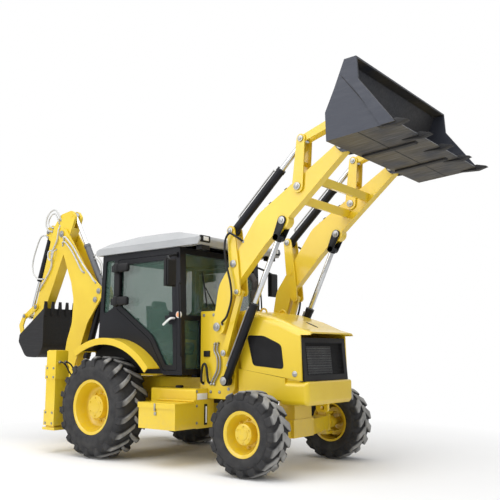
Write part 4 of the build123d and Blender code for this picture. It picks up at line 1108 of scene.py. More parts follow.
class Hardware:
    """Fasteners, pipes and hoses that the sub-assemblies share."""

    @staticmethod
    def pin_cap(name: str, place: Point, hand: int, radius: float) -> bpy.types.Object:
        """Washer, nut and grease nipple on the end of a pin along Y.

        Args:
            name: The piece's name.
            place: Centre of the pin's end.
            hand: Sign of the way that the end looks along Y.
            radius: The pin's radius.

        Returns:
            The piece.
        """
        start = Vector(place)
        way = Vector((0.0, float(hand), 0.0))
        washer = Bench.bar(name, start - way * 0.002, start + way * 0.006, radius * 1.3, 28, 0.0015)
        nut = Bench.bar(f"{name}_nut", start + way * 0.004, start + way * 0.016, radius * 0.78, 6, 0.002)
        nipple = Bench.bar(f"{name}_nipple", start + way * 0.014, start + way * 0.022, radius * 0.2, 10,
                           0.001)
        return Bench.join(name, [washer, nut, nipple])

    @staticmethod
    def caps(name: str, body: str, place: tuple[float, float], ends: Sequence[tuple[float, int]],
             radius: float) -> bpy.types.Object:
        """Caps on several ends of one pin line.

        Args:
            name: The piece's name.
            body: The body that carries the pins.
            place: Places of the pin forward from the rear axle and up.
            ends: Pairs of Y and the sign of the way that the end looks.
            radius: The pin's radius.

        Returns:
            The piece.
        """
        made = [Hardware.pin_cap(f"{name}_{index}", at(place[0], y, place[1]), hand, radius)
                for index, (y, hand) in enumerate(ends)]
        return fit(Bench.join(name, made), body, "zinc_steel")

    @staticmethod
    def bolt(name: str, place: Point, way: Axis, hand: int, size: float = 0.012) -> bpy.types.Object:
        """A washer and hexagon head that stand on a face.

        Args:
            name: The piece's name.
            place: Where the bolt meets the face.
            way: Axis along the bolt.
            hand: Sign of the way that the head looks.
            size: Radius of the head.

        Returns:
            The piece.
        """
        start = Vector(place)
        out = Vector(way.value) * hand
        washer = Bench.bar(name, start - out * 0.001, start + out * size * 0.25, size * 1.45, 20, 0.0)
        head = Bench.bar(f"{name}_head", start, start + out * size * 0.95, size, 6, size * 0.12)
        return Bench.join(name, [washer, head])

    @staticmethod
    def bolts(name: str, body: str, places: Sequence[Point], way: Axis, hand: int, size: float = 0.012,
              finish: str = "zinc_steel") -> bpy.types.Object:
        """Several bolts on one body as one piece."""
        made = [Hardware.bolt(f"{name}_{index}", place, way, hand, size)
                for index, place in enumerate(places)]
        return fit(Bench.join(name, made), body, finish)

    @staticmethod
    def line(name: str, body: str, knots: Sequence[Point], radius: float, finish: str,
             smooth: bool = True) -> bpy.types.Object:
        """A rigid steel pipe with a hexagon union at each end.

        Args:
            name: The piece's name.
            body: The body that carries it.
            knots: Places that it goes through.
            radius: The pipe's radius.
            finish: Name of its finish.
            smooth: True where the pipe is bent in one flow, False for straight runs.

        Returns:
            The piece.
        """
        route = flowing(knots, 8) if smooth else [Vector(knot) for knot in knots]
        parts = [Bench.pipe(name, route, radius, False)]
        for index, (end, inner) in enumerate(((route[0], route[1]), (route[-1], route[-2]))):
            way = (inner - end).normalized()
            parts.append(Bench.bar(f"{name}_union_{index}", end, end + way * radius * 3.2, radius * 1.7, 6,
                                   0.001))
        return fit(Bench.join(name, parts), body, finish)

    @staticmethod
    def ram_line(name: str, body: str, base: tuple[float, float], tip: tuple[float, float], y: float,
                 route: Sequence[tuple[float, float]], radius: float, finish: str = "zinc_steel",
                 hand: int = 1) -> None:
        """An oil pipe along a cylinder.

        Args:
            name: The piece's name.
            body: The body that carries it.
            base: The cylinder's base pin as (x, z).
            tip: The cylinder's far pin as (x, z).
            y: The cylinder's place across the machine.
            route: Places of (distance from the base pin, distance off the cylinder's line).
            radius: Radius of the pipe.
            finish: Name of its finish.
            hand: Sign of the side of the cylinder, seen along the machine's left.
        """
        run = heading(base, tip)
        off = Vector((-run.z, 0.0, run.x)) * hand
        foot = at(base[0], y, base[1])
        Hardware.line(name, body, [foot + run * along + off * out for along, out in route], radius, finish)

    @staticmethod
    def hose(name: str, body: str, knots: Sequence[Point], radius: float = 0.013,
             finish: str = "hose_rubber") -> bpy.types.Object:
        """A hose that hangs free between two ports of one body.

        Args:
            name: The piece's name.
            body: The body that carries both ports.
            knots: Places that it goes through, from port to port.
            radius: The hose's radius.
            finish: Name of its finish.

        Returns:
            The hose.
        """
        route = flowing(knots)
        obj = Bench.path(name, route, radius, False)
        fit(obj, body, finish)
        ferrules = []
        for index, (end, inner) in enumerate(((route[0], route[2]), (route[-1], route[-3]))):
            way = (end - inner).normalized()
            ferrules.append(Bench.bar(f"{name}_ferrule_{index}", end - way * 0.004,
                                      end + way * radius * 1.8, radius * 1.45, 12, 0.0015))
        fit(Bench.join(f"{name}_ferrules", ferrules), body, "zinc_steel")
        return obj

    @staticmethod
    def row(obj: bpy.types.Object, count: int, step: Point) -> bpy.types.Object:
        """Repeats a piece in a row with an applied array."""
        Bench.pick(obj)
        array = obj.modifiers.new("row", "ARRAY")
        array.count = count
        array.use_relative_offset = False
        array.use_constant_offset = True
        array.constant_offset_displace = step
        bpy.ops.object.modifier_apply(modifier=array.name)
        return obj


@dataclass
class Cab:
    """Seat, wiper, lamps, mirrors and door fittings of the cab."""

    half: float = 0.800
    floor: float = 1.100
    front_low: float = 1.290
    front_top: float = 1.228
    sill: float = 1.060
    top: float = 2.640
    cushion_top: float = 1.470
    back_top: float = 2.050

    def front(self, z: float) -> float:
        """X of the cab's front face at a height, forward from the rear axle."""
        lean = self.front_top - self.front_low
        return self.front_low + lean * (z - self.sill) / (self.top - self.sill)

    def pad(self, name: str, low: Point, high: Point, lean: float, foot: float) -> bpy.types.Object:
        """A stuffed pad with a piped crown.

        Args:
            name: The piece's name.
            low: Lowest corner.
            high: Highest corner.
            lean: How far the pad leans back for each metre up.
            foot: Height that the lean starts from.

        Returns:
            The pad.
        """
        pad = Bench.block(name, low, high, 0.05, 4)
        Bench.pick(pad)
        bpy.ops.object.mode_set(mode="EDIT")
        bpy.ops.mesh.select_all(action="SELECT")
        bpy.ops.mesh.subdivide(number_cuts=2, smoothness=0.15)
        bpy.ops.object.mode_set(mode="OBJECT")
        Bench.reshape(pad, lambda place: Vector((place.x - lean * (place.z - foot), place.y, place.z)))
        fit(Bench.smooth(pad, 60.0), "chassis", "seat_fabric")
        return pad

    def seat(self) -> None:
        """The operator's seat: pedestal, cushion, back and head rest."""
        base = Bench.block("seat_base", at(0.18, -0.17, self.floor + 0.001), at(0.46, 0.17, 1.300), 0.02)
        pan = Bench.block("seat_pan", at(0.10, -0.22, 1.296), at(0.54, 0.22, 1.345), 0.015)
        shell = Bench.plate("seat_shell", [(fore(0.055), 1.34), (fore(0.10), 1.34), (fore(0.04), 1.98),
                                           (fore(0.005), 1.98)], -0.20, 0.20, 0.01)
        rests = []
        for side in Side:
            y = side.value * 0.262
            rests.append(Bench.block(f"arm_rest_{side.word}", at(0.12, y - 0.028, 1.60),
                                     at(0.42, y + 0.028, 1.645), 0.012))
            rests.append(Bench.bar(f"rest_post_{side.word}", at(0.13, y * 0.9, 1.45), at(0.15, y, 1.62),
                                   0.014, 12))
        fit(Bench.join("seat_pedestal", [base, pan, shell] + rests), "chassis", "black_plastic", ["seat"])
        self.pad("seat_cushion", at(0.09, -0.245, 1.335), at(0.56, 0.245, self.cushion_top), 0.0, 0.0)
        self.pad("seat_back", at(0.07, -0.23, 1.455), at(0.165, 0.23, 1.93), 0.085, 1.44)
        self.pad("seat_head_rest", at(0.08, -0.13, 1.935), at(0.15, 0.13, self.back_top), 0.085, 1.44)

    def desk(self) -> None:
        """Dash top, gauges, the steering wheel's hub and the levers' boots."""
        parts = [Bench.block("dash_hood", at(0.985, -0.235, 1.565), at(1.19, 0.235, 1.64), 0.02, 3)]
        for index, y in enumerate((-0.12, 0.0, 0.12)):
            parts.append(Bench.bar(f"gauge_{index}", at(0.99, y, 1.605), at(0.978, y, 1.605), 0.028, 20,
                                   0.002))
        parts.append(Bench.bar("wheel_hub", at(0.866, 0.0, 1.746), at(0.838, 0.0, 1.770), 0.05, 24, 0.006))
        for side in Side:
            y = side.value * 0.255
            parts.append(Bench.turned(f"lever_boot_{side.word}",
                                      [(0.0, 0.06), (0.015, 0.055), (0.03, 0.058), (0.045, 0.04),
                                       (0.06, 0.042), (0.08, 0.018)], at(-0.12, y, 1.558), Axis.Z, 20))
        fit(Bench.join("dash_fittings", parts), "chassis", "black_plastic")

    def wiper(self) -> None:
        """Windscreen wiper: motor cap, arm and blade."""
        face = -0.010
        low, high = 1.815, 2.36
        parts = [
            Bench.bar("wiper_cap", at(self.front(low) - 0.012, -0.10, low),
                      at(self.front(low) + 0.022, -0.10, low), 0.022, 20),
            Bench.bar("wiper_arm", at(self.front(low) + 0.016, -0.10, low),
                      at(self.front(high - 0.2) + 0.004, -0.34, high - 0.20), 0.007, 8, 0.0),
            Bench.bar("wiper_blade", at(self.front(low + 0.1) + face, -0.30, low + 0.10),
                      at(self.front(high) + face, -0.375, high), 0.008, 8, 0.0),
            Bench.bar("wiper_yoke", at(self.front(high - 0.2) + 0.004, -0.34, high - 0.20),
                      at(self.front(high - 0.22) + face, -0.34, high - 0.22), 0.009, 8, 0.0),
        ]
        fit(Bench.join("windscreen_wiper", parts), "chassis", "black_plastic")

    def lamps(self) -> None:
        """Lenses of the work lamps under the roof, and their bezels."""
        lenses, bezels = [], []
        for side in Side:
            y = side.value * 0.650
            bezels.append(Bench.block(f"tail_bezel_{side.word}", at(-0.312, y - 0.075, 2.576),
                                      at(-0.300, y + 0.075, 2.638), 0.006))
            lenses.append(Bench.block(f"tail_lens_{side.word}", at(-0.316, y - 0.062, 2.584),
                                      at(-0.306, y + 0.062, 2.630), 0.004))
            y = side.value * 0.735
            bezels.append(Bench.block(f"brow_bezel_{side.word}", at(1.566, y - 0.090, 2.668),
                                      at(1.603, y + 0.090, 2.752), 0.014, 3))
            lenses.append(Bench.block(f"brow_lens_{side.word}", at(1.590, y - 0.048, 2.684),
                                      at(1.608, y + 0.048, 2.738), 0.008))
        fit(Bench.join("work_lamp_bezels", bezels), "chassis", "black_plastic")
        fit(Bench.join("work_lamp_lenses", lenses), "chassis", "clear_lens")

    def mirrors(self) -> None:
        """Mirror shells and their glass."""
        shells, panes = [], []
        for side in Side:
            y0, y1 = sorted((side.value * 0.970, side.value * 1.130))
            shells.append(Bench.block(f"mirror_shell_{side.word}", at(1.318, y0 + 0.004, 2.128),
                                      at(1.346, y1 - 0.004, 2.442), 0.024, 4))
            panes.append(Bench.block(f"mirror_pane_{side.word}", at(1.281, y0 + 0.008, 2.136),
                                     at(1.288, y1 - 0.008, 2.434), 0.002))
        fit(Bench.join("mirror_shells", shells), "chassis", "black_plastic")
        fit(Bench.join("mirror_panes", panes), "chassis", "chrome_rod")

    def doors(self) -> None:
        """Hinge castings and grips of the doors, marker lamps and grab rails."""
        for side in Side:
            hand = side.value
            body = f"door_{side.word}"
            covers = [flank_block(f"hinge_post_{side.word}", hand, (0.078, 0.803, 2.040),
                                  (0.168, 0.846, 2.400), 0.016, 3)]
            for z in (2.000, 2.440):
                covers.append(flank_block(f"hinge_casting_{side.word}_{z}", hand,
                                          (0.078, 0.834, z - 0.058), (0.375, 0.905, z + 0.058), 0.034, 4))
                covers.append(flank_block(f"hinge_boss_{side.word}_{z}", hand,
                                          (0.110, 0.834, z - 0.072), (0.200, 0.920, z + 0.072), 0.034, 4))
            fit(Bench.join(f"hinge_castings_{side.word}", covers), body, "black_plastic")
            grip = Bench.pipe(f"door_grip_{side.word}", flowing([
                at(1.150, hand * 0.800, 1.752), at(1.148, hand * 0.852, 1.750),
                at(1.120, hand * 0.866, 1.735), at(1.050, hand * 0.866, 1.690),
                at(1.020, hand * 0.862, 1.672)], 6), 0.014, False)
            fit(grip, body, "white_plastic")
            ring = Bench.bar(f"marker_ring_{side.word}", at(1.236, hand * 0.799, 1.792),
                             at(1.236, hand * 0.822, 1.792), 0.042, 28)
            fit(ring, "chassis", "white_plastic")
            marker = Bench.bar(f"marker_lens_{side.word}", at(1.236, hand * 0.815, 1.792),
                               at(1.236, hand * 0.834, 1.792), 0.028, 24, 0.006)
            fit(marker, "chassis", "amber_lens")
            rail = Bench.pipe(f"grab_rail_{side.word}",
                              flowing([at(1.262, hand * 0.79, 1.30), at(1.290, hand * 0.835, 1.33),
                                       at(1.275, hand * 0.84, 1.75), at(1.250, hand * 0.84, 2.15),
                                       at(1.236, hand * 0.79, 2.18)], 6), 0.011, False)
            fit(rail, "chassis", "black_paint")

    def liners(self) -> None:
        """Black liners under the rear fenders."""
        centre, reach = (0.060, 0.390), 1.108
        first, last, count = math.radians(44.0), math.radians(120.0), 26
        angles = [first + (last - first) * index / count for index in range(count + 1)]
        outer = [(fore(centre[0] + reach * math.cos(turn)), centre[1] + reach * math.sin(turn))
                 for turn in angles]
        inner = [(fore(centre[0] + (reach - 0.006) * math.cos(turn)),
                  centre[1] + (reach - 0.006) * math.sin(turn))
                 for turn in reversed(angles)]
        wall = outer + [(fore(-0.58), 1.062), (fore(0.80), 1.062)]
        parts = []
        for side in Side:
            low, high = sorted((side.value * 0.638, side.value * 0.984))
            parts.append(Bench.plate(f"liner_roof_{side.word}", outer + inner, low, high, 0.0))
            low, high = sorted((side.value * 0.637, side.value * 0.642))
            parts.append(Bench.plate(f"liner_wall_{side.word}", wall, low, high, 0.0))
        fit(Bench.join("fender_liners", parts), "chassis", "black_plastic")

    def build(self) -> None:
        """Builds the cab's fittings."""
        self.seat()
        self.liners()
        self.desk()
        self.wiper()
        self.lamps()
        self.mirrors()
        self.doors()


@dataclass
class Front:
    """Radiator grille, hood latches, vents, exhaust collar and front axle ram."""

    grille_low: float = 1.074
    grille_high: float = 1.448
    grille_half: float = 0.402
    core_right: float = -0.330
    core_left: float = 0.190
    core_share: float = 0.88
    hood_half: float = 0.500
    pitch: float = 0.016
    inset: float = 0.006
    wire: float = 0.0016
    rim: float = 0.008

    def face(self, z: float, depth: float) -> float:
        """X of the grille at a height, set back by a depth."""
        return 2.852 - (z - 1.020) * 0.052 / 0.546 - depth

    def grille(self) -> None:
        """Radiator core and the wire mesh in front of it."""
        low, high, half = self.grille_low, self.grille_high, self.grille_half
        crest = low + self.core_share * (high - low)
        core = Bench.plate("radiator_core", [
            (fore(self.face(low, 0.046)), low), (fore(self.face(low, 0.034)), low),
            (fore(self.face(crest, 0.034)), crest), (fore(self.face(crest, 0.046)), crest)],
            self.core_right, self.core_left, 0.002)
        fit(core, "chassis", "radiator_fins")
        lean = self.face(high, 0.0) - self.face(low, 0.0)
        count = int(2 * half / self.pitch)
        first = -half + self.inset
        wire = Bench.bar("upright_wire", at(self.face(low, 0.012), first, low),
                         at(self.face(high, 0.012), first, high), self.wire, 4, 0.0)
        uprights = Hardware.row(wire, count, (0.0, self.pitch, 0.0))
        rows = int((high - low) / self.pitch)
        front, bottom = self.face(low, 0.011), low + self.inset
        wire = Bench.bar("level_wire", at(front, -half, bottom), at(front, half, bottom), self.wire, 4, 0.0)
        levels = Hardware.row(wire, rows, (lean / rows, 0.0, (high - low) / rows))
        fit(Bench.join("grille_mesh", [uprights, levels]), "chassis", "black_plastic")
        frame_parts = []
        for side in Side:
            y = side.value * (half + self.inset)
            frame_parts.append(Bench.bar(f"mesh_edge_{side.word}", at(self.face(low, 0.010), y, low),
                                         at(self.face(high, 0.010), y, high), self.rim, 10, 0.0))
        for z in (low, high):
            front = self.face(z, 0.010)
            frame_parts.append(Bench.bar(f"mesh_rail_{z}", at(front, -half, z), at(front, half, z),
                                         self.rim, 10, 0.0))
        fit(Bench.join("grille_mesh_rim", frame_parts), "chassis", "black_plastic")

    def hood(self) -> None:
        """Side latches, the slot on the hood's top and the vents' rims."""
        latches, slots = [], []
        for side in Side:
            hand = side.value
            y = hand * self.hood_half
            latches.append(Bench.bar(f"latch_cup_{side.word}", at(2.735, y - hand * 0.002, 1.095),
                                     at(2.735, y + hand * 0.006, 1.095), 0.034, 28))
            latches.append(flank_block(f"latch_key_{side.word}", hand, (2.715, self.hood_half, 1.088),
                                       (2.755, self.hood_half + 0.012, 1.102), 0.003))
            rim = [(2.062, 1.530), (2.300, 1.522), (2.548, 1.418), (2.582, 1.150), (2.150, 1.185)]
            knots = [at(x, y, z) for x, z in rim]
            slots.append(Bench.pipe(f"vent_rim_{side.word}", self.rounded(knots, 0.045), 0.005, False))
        slots.append(self.slit())
        fit(Bench.join("hood_latches", latches), "hood", "zinc_steel")
        fit(Bench.join("hood_trim", slots), "hood", "black_plastic")

    def slit(self) -> bpy.types.Object:
        """The lens-shaped slit on the hood's top.

        Returns:
            The slit's dark insert, lying on the hood's front slope.
        """
        start, length, half = 2.560, 0.175, 0.022
        outline = []
        for index in range(24):
            turn = math.tau * index / 24
            run = 0.5 - 0.5 * math.cos(turn)
            outline.append((fore(start + length * run), half * math.sin(turn)))
        insert = Bench.plate("hood_slit", outline, 0.0, 0.004, 0.001, Axis.Z)
        Bench.reshape(insert, lambda place: Vector((
            place.x, place.y, place.z + 1.7025 - (place.x - fore(2.540)) * 0.412)))
        return insert

    @staticmethod
    def rounded(knots: Sequence[Vector], cut: float, steps: int = 5) -> list[Vector]:
        """A closed outline with its corners rounded.

        Args:
            knots: The corners.
            cut: How far from each corner its rounding starts.
            steps: Points on each rounding.

        Returns:
            The outline, ending where it starts.
        """
        line = []
        for index, corner in enumerate(knots):
            first = corner + (knots[index - 1] - corner).normalized() * cut
            last = corner + (knots[(index + 1) % len(knots)] - corner).normalized() * cut
            for step in range(steps + 1):
                share = step / steps
                line.append(first * (1 - share) ** 2 + corner * 2 * share * (1 - share) + last * share ** 2)
        return line + [line[0]]

    def shelf(self) -> None:
        """Yellow upstands on the nose that close the seam below the hood."""
        parts = []
        for side in Side:
            low, high = sorted((side.value * 0.462, side.value * 0.472))
            outline = [(fore(2.560), 1.005), (fore(2.800), 1.005), (fore(2.800), 1.030),
                       (fore(2.560), 1.085)]
            parts.append(Bench.plate(f"nose_upstand_{side.word}", outline, low, high, 0.002))
        fit(Bench.join("nose_upstands", parts), "chassis", "yellow_paint")

    def exhaust(self) -> None:
        """Collar and clamp of the exhaust stack."""
        sleeve = [(0.0, 0.040), (0.0, 0.056), (0.012, 0.060), (0.20, 0.060), (0.212, 0.056), (0.212, 0.040)]
        shield = Bench.turned("exhaust_shield", sleeve, at(1.790, 0.0, 1.90), Axis.Z, 36)
        band = [(0.0, 0.038), (0.0, 0.046), (0.03, 0.046), (0.03, 0.038)]
        clamp = Bench.turned("exhaust_clamp", band, at(1.790, 0.0, 2.15), Axis.Z, 32)
        fit(Bench.join("exhaust_collar", [shield, clamp]), "chassis", "exhaust_steel")

    def axle(self) -> None:
        """Steering ram behind the front axle."""
        parts = [Bench.bar("steer_barrel", at(2.262, -0.20, 0.50), at(2.262, 0.20, 0.50), 0.042, 24)]
        for side in Side:
            parts.append(Bench.bar(f"steer_gland_{side.word}", at(2.262, side.value * 0.18, 0.50),
                                   at(2.262, side.value * 0.215, 0.50), 0.048, 24))
        fit(Bench.join("steer_ram", parts), "chassis", "black_paint")
        rod = Bench.bar("steer_rod", at(2.262, -0.50, 0.50), at(2.262, 0.50, 0.50), 0.018, 18)
        fit(rod, "chassis", "chrome_rod")

    def build(self) -> None:
        """Builds the front's fittings."""
        PALETTE.dress(frame["nodes"]["hood_vents"], "vent_mesh")
        self.shelf()
        self.grille()
        self.hood()
        self.exhaust()
        self.axle()


@dataclass
class Loader:
    """Pins, forks, pipes and wear parts of the loader."""

    arm_y: float = 0.595
    plate_out: float = 0.088
    pivot: tuple[float, float] = (1.724, 1.635)
    link_base: tuple[float, float] = (1.800, 1.325)
    lift_base: tuple[float, float] = (1.818, 1.000)
    lift_top: tuple[float, float] = (2.685, 2.824)
    lever_pin: tuple[float, float] = (1.988, 2.377)
    lever_top: tuple[float, float] = (1.941, 2.782)
    lever_foot: tuple[float, float] = (2.040, 2.040)
    front_pin: tuple[float, float] = (2.910, 3.187)
    front_top: tuple[float, float] = (2.962, 3.733)
    arm_tip: tuple[float, float] = (3.478, 3.562)
    bucket_pin: tuple[float, float] = (3.480, 3.895)
    arm_low: tuple[float, float] = (2.322, 2.928)
    arm_high: tuple[float, float] = (3.508, 3.648)
    pipe_x: float = 2.42
    tilt_route: tuple[tuple[float, float], ...] = (
        (0.16, 0.048), (0.17, 0.078), (0.20, 0.084), (0.55, 0.084), (0.86, 0.084), (0.89, 0.078),
        (0.90, 0.048))
    lift_route: tuple[tuple[float, float], ...] = (
        (0.16, 0.048), (0.17, 0.066), (0.20, 0.070), (0.55, 0.070), (0.88, 0.070), (0.91, 0.066),
        (0.92, 0.048))
    tower_bolts: tuple[tuple[float, float], ...] = (
        (1.40, 0.86), (1.52, 0.86), (1.66, 0.86), (1.80, 0.90), (1.40, 1.79), (1.56, 1.79))

    def outer(self, out: float) -> list[tuple[float, int]]:
        """The two outward ends of a pin line, one on each side."""
        return [(side.value * (self.arm_y + out), side.value) for side in Side]

    def inner(self, out: float) -> list[tuple[float, int]]:
        """The two inward ends of a pin line, one on each side."""
        return [(side.value * (self.arm_y - out), -side.value) for side in Side]

    def both(self, out: float) -> list[tuple[float, int]]:
        """All four ends of a pin line."""
        return self.outer(out) + self.inner(out)

    def pins(self) -> None:
        """Caps of all the loader's pins."""
        Hardware.caps("arm_pivot_caps", "chassis", self.pivot, self.outer(0.073), 0.040)
        Hardware.caps("link_base_caps", "chassis", self.link_base, self.outer(0.040), 0.028)
        Hardware.caps("lift_base_caps", "chassis", self.lift_base, self.outer(0.058), 0.036)
        Hardware.caps("lever_pin_caps", "loader_arms", self.lever_pin, self.outer(self.plate_out), 0.034)
        Hardware.caps("front_pin_caps", "loader_arms", self.front_pin, self.both(self.plate_out), 0.034)
        Hardware.caps("lever_top_caps", "levelling_levers", self.lever_top, self.both(0.092), 0.030)
        Hardware.caps("lever_foot_caps", "levelling_levers", self.lever_foot, self.outer(0.086), 0.022)
        Hardware.caps("front_top_caps", "bucket_levers", self.front_top, self.both(self.plate_out), 0.028)
        Hardware.caps("arm_tip_caps", "loader_bucket", self.arm_tip, self.both(self.plate_out), 0.034)
        Hardware.caps("bucket_pin_caps", "loader_bucket", self.bucket_pin, self.both(self.plate_out), 0.030)

    def lift_rods(self) -> None:
        """Chrome lift rods that end in black forks with pins."""
        way = heading(self.lift_base, self.lift_top)

        def point(reach: float, y: float) -> Vector:
            """A point on the cylinder's line, measured from its lower pin."""
            return at(self.lift_base[0] + way.x * reach, y, self.lift_base[1] + way.z * reach)

        length = math.dist(self.lift_base, self.lift_top)
        neck = length - 0.205
        root = (self.lift_base[0] + way.x * neck, self.lift_base[1] + way.z * neck)
        cheek = strap_outline(self.lift_top, root, 0.054, 0.040)
        rods, forks = [], []
        for side in Side:
            y = side.value * self.arm_y
            rods.append(Bench.bar(f"lift_shaft_{side.word}", point(0.920, y), point(length - 0.21, y),
                                  0.032, 32, 0.002))
            forks.append(Bench.bar(f"fork_root_{side.word}", at(root[0], y - 0.074, root[1]),
                                   at(root[0], y + 0.074, root[1]), 0.040, 32, 0.004))
            forks.append(Bench.bar(f"fork_neck_{side.word}", point(length - 0.250, y), point(neck, y),
                                   0.044, 28, 0.006))
            for low, high in ((0.058, 0.074), (-0.074, -0.058)):
                forks.append(Bench.plate(f"fork_cheek_{side.word}_{low}", cheek, y + low, y + high, 0.002))
        fit(Bench.join("lift_shafts", rods), "lift_rods", "chrome_rod", ["lift_rods"])
        fit(Bench.join("lift_forks", forks), "lift_rods", "black_paint")
        Hardware.caps("lift_top_caps", "lift_rods", self.lift_top, self.both(0.074), 0.034)

    def pipes(self) -> None:
        """Oil pipes and hoses on the cylinders, the towers and the arms, with clamps and bolts."""
        slope = heading(self.arm_low, self.arm_high)
        rise = Vector((-slope.z, 0.0, slope.x))
        pipe_z = self.arm_low[1] + (self.pipe_x - self.arm_low[0]) * slope.z / slope.x
        for side in Side:
            y = side.value * self.arm_y
            Hardware.ram_line(f"tilt_pipe_{side.word}", "tilt_barrels", self.lever_top, self.front_top,
                              y, self.tilt_route, 0.010)
            Hardware.ram_line(f"lift_pipe_{side.word}", "lift_barrels", self.lift_base, self.lift_top,
                              y, self.lift_route, 0.009)
            for index, shift in enumerate((-0.022, 0.022)):
                start = at(self.pipe_x, y + shift, pipe_z)
                Hardware.line(f"arm_pipe_{side.word}_{index}", "loader_arms",
                              [start + rise * 0.010, start + slope * 0.45 + rise * 0.010], 0.008,
                              "zinc_steel", False)
            clamps = [Bench.block(f"arm_clamp_{side.word}_{index}", (-0.02, -0.04, -0.004),
                                  (0.02, 0.04, 0.022), 0.004) for index in range(2)]
            for clamp, reach in zip(clamps, (0.10, 0.36)):
                turn = Matrix.Rotation(-math.atan2(slope.z, slope.x), 4, "Y")
                place = at(self.pipe_x, y, pipe_z) + slope * reach
                clamp.data.transform(Matrix.Translation(place) @ turn)
            fit(Bench.join(f"arm_clamps_{side.word}", clamps), "loader_arms", "black_plastic")
            hand = side.value
            for index, shift in enumerate((0.0, 0.045)):
                Hardware.line(f"tower_pipe_{side.word}_{index}", "chassis", [
                    at(1.595 + shift, hand * 0.530, 1.445), at(1.595 + shift, hand * 0.548, 1.430),
                    at(1.590 + shift, hand * 0.550, 1.350), at(1.635 + shift, hand * 0.550, 1.260),
                    at(1.630 + shift, hand * 0.550, 1.120), at(1.560 + shift, hand * 0.550, 1.000),
                    at(1.540 + shift, hand * 0.548, 0.960), at(1.535 + shift, hand * 0.530, 0.945)], 0.010,
                    "zinc_steel")
            Hardware.hose(f"tower_hose_{side.word}", "chassis", [
                at(1.400, hand * 0.530, 0.960), at(1.402, hand * 0.570, 0.985),
                at(1.412, hand * 0.580, 1.080), at(1.430, hand * 0.582, 1.165),
                at(1.462, hand * 0.582, 1.195), at(1.492, hand * 0.582, 1.150),
                at(1.506, hand * 0.580, 1.060), at(1.512, hand * 0.570, 0.985),
                at(1.514, hand * 0.530, 0.960)], 0.015)
            Hardware.hose(f"arm_hose_{side.word}", "loader_arms", [
                at(2.110, hand * 0.650, 2.640), at(2.060, hand * 0.712, 2.690),
                at(1.960, hand * 0.724, 2.740), at(1.896, hand * 0.724, 2.640),
                at(1.908, hand * 0.724, 2.420), at(1.985, hand * 0.724, 2.130),
                at(1.995, hand * 0.724, 1.950), at(1.930, hand * 0.724, 1.760),
                at(1.850, hand * 0.712, 1.690), at(1.800, hand * 0.650, 1.668)], 0.013)
            box = flank_block(f"socket_box_{side.word}", hand, (1.412, 0.528, 1.280),
                              (1.505, 0.550, 1.352), 0.006)
            fit(box, "chassis", "black_plastic")
            Hardware.bolts(f"tower_bolts_{side.word}", "chassis",
                           [at(x, hand * 0.530, z) for x, z in self.tower_bolts],
                           Axis.Y, hand, 0.014)

    def bucket(self) -> None:
        """Black caps on the bucket's teeth, wear strips under its floor and weld seams."""
        teeth = []
        for index in range(-2, 3):
            y = index * 0.5375
            outline = [(fore(4.146), 3.512), (fore(4.353), 3.4995), (fore(4.4645), 3.529),
                       (fore(4.465), 3.533), (fore(4.353), 3.5645), (fore(4.278), 3.5605)]
            teeth.append(Bench.plate(f"tooth_cap_{index}", outline, y - 0.0405, y + 0.0405, 0.003))
        for y in (-0.400, 0.400):
            outline = [(fore(3.609), 3.485), (fore(3.609), 3.4525), (fore(4.224), 3.4995),
                       (fore(4.245), 3.527)]
            teeth.append(Bench.plate(f"wear_strip_{y}", outline, y - 0.0375, y + 0.0375, 0.003))
        seam = [(fore(3.930), 3.4965), (fore(3.942), 3.4975), (fore(3.942), 3.504), (fore(3.930), 3.503)]
        teeth.append(Bench.plate("floor_seam", seam, -1.110, 1.110, 0.0))
        for side in Side:
            low, high = sorted((side.value * 1.119, side.value * 1.122))
            teeth.append(Bench.plate(f"flank_seam_{side.word}", [
                (fore(3.757), 4.130), (fore(3.763), 4.134), (fore(4.200), 3.556), (fore(4.193), 3.552)],
                low, high, 0.0))
        fit(Bench.join("bucket_wear_parts", teeth), "loader_bucket", "dark_steel")

    def build(self) -> None:
        """Builds the loader's fittings."""
        self.pins()
        self.lift_rods()
        self.pipes()
        self.bucket()


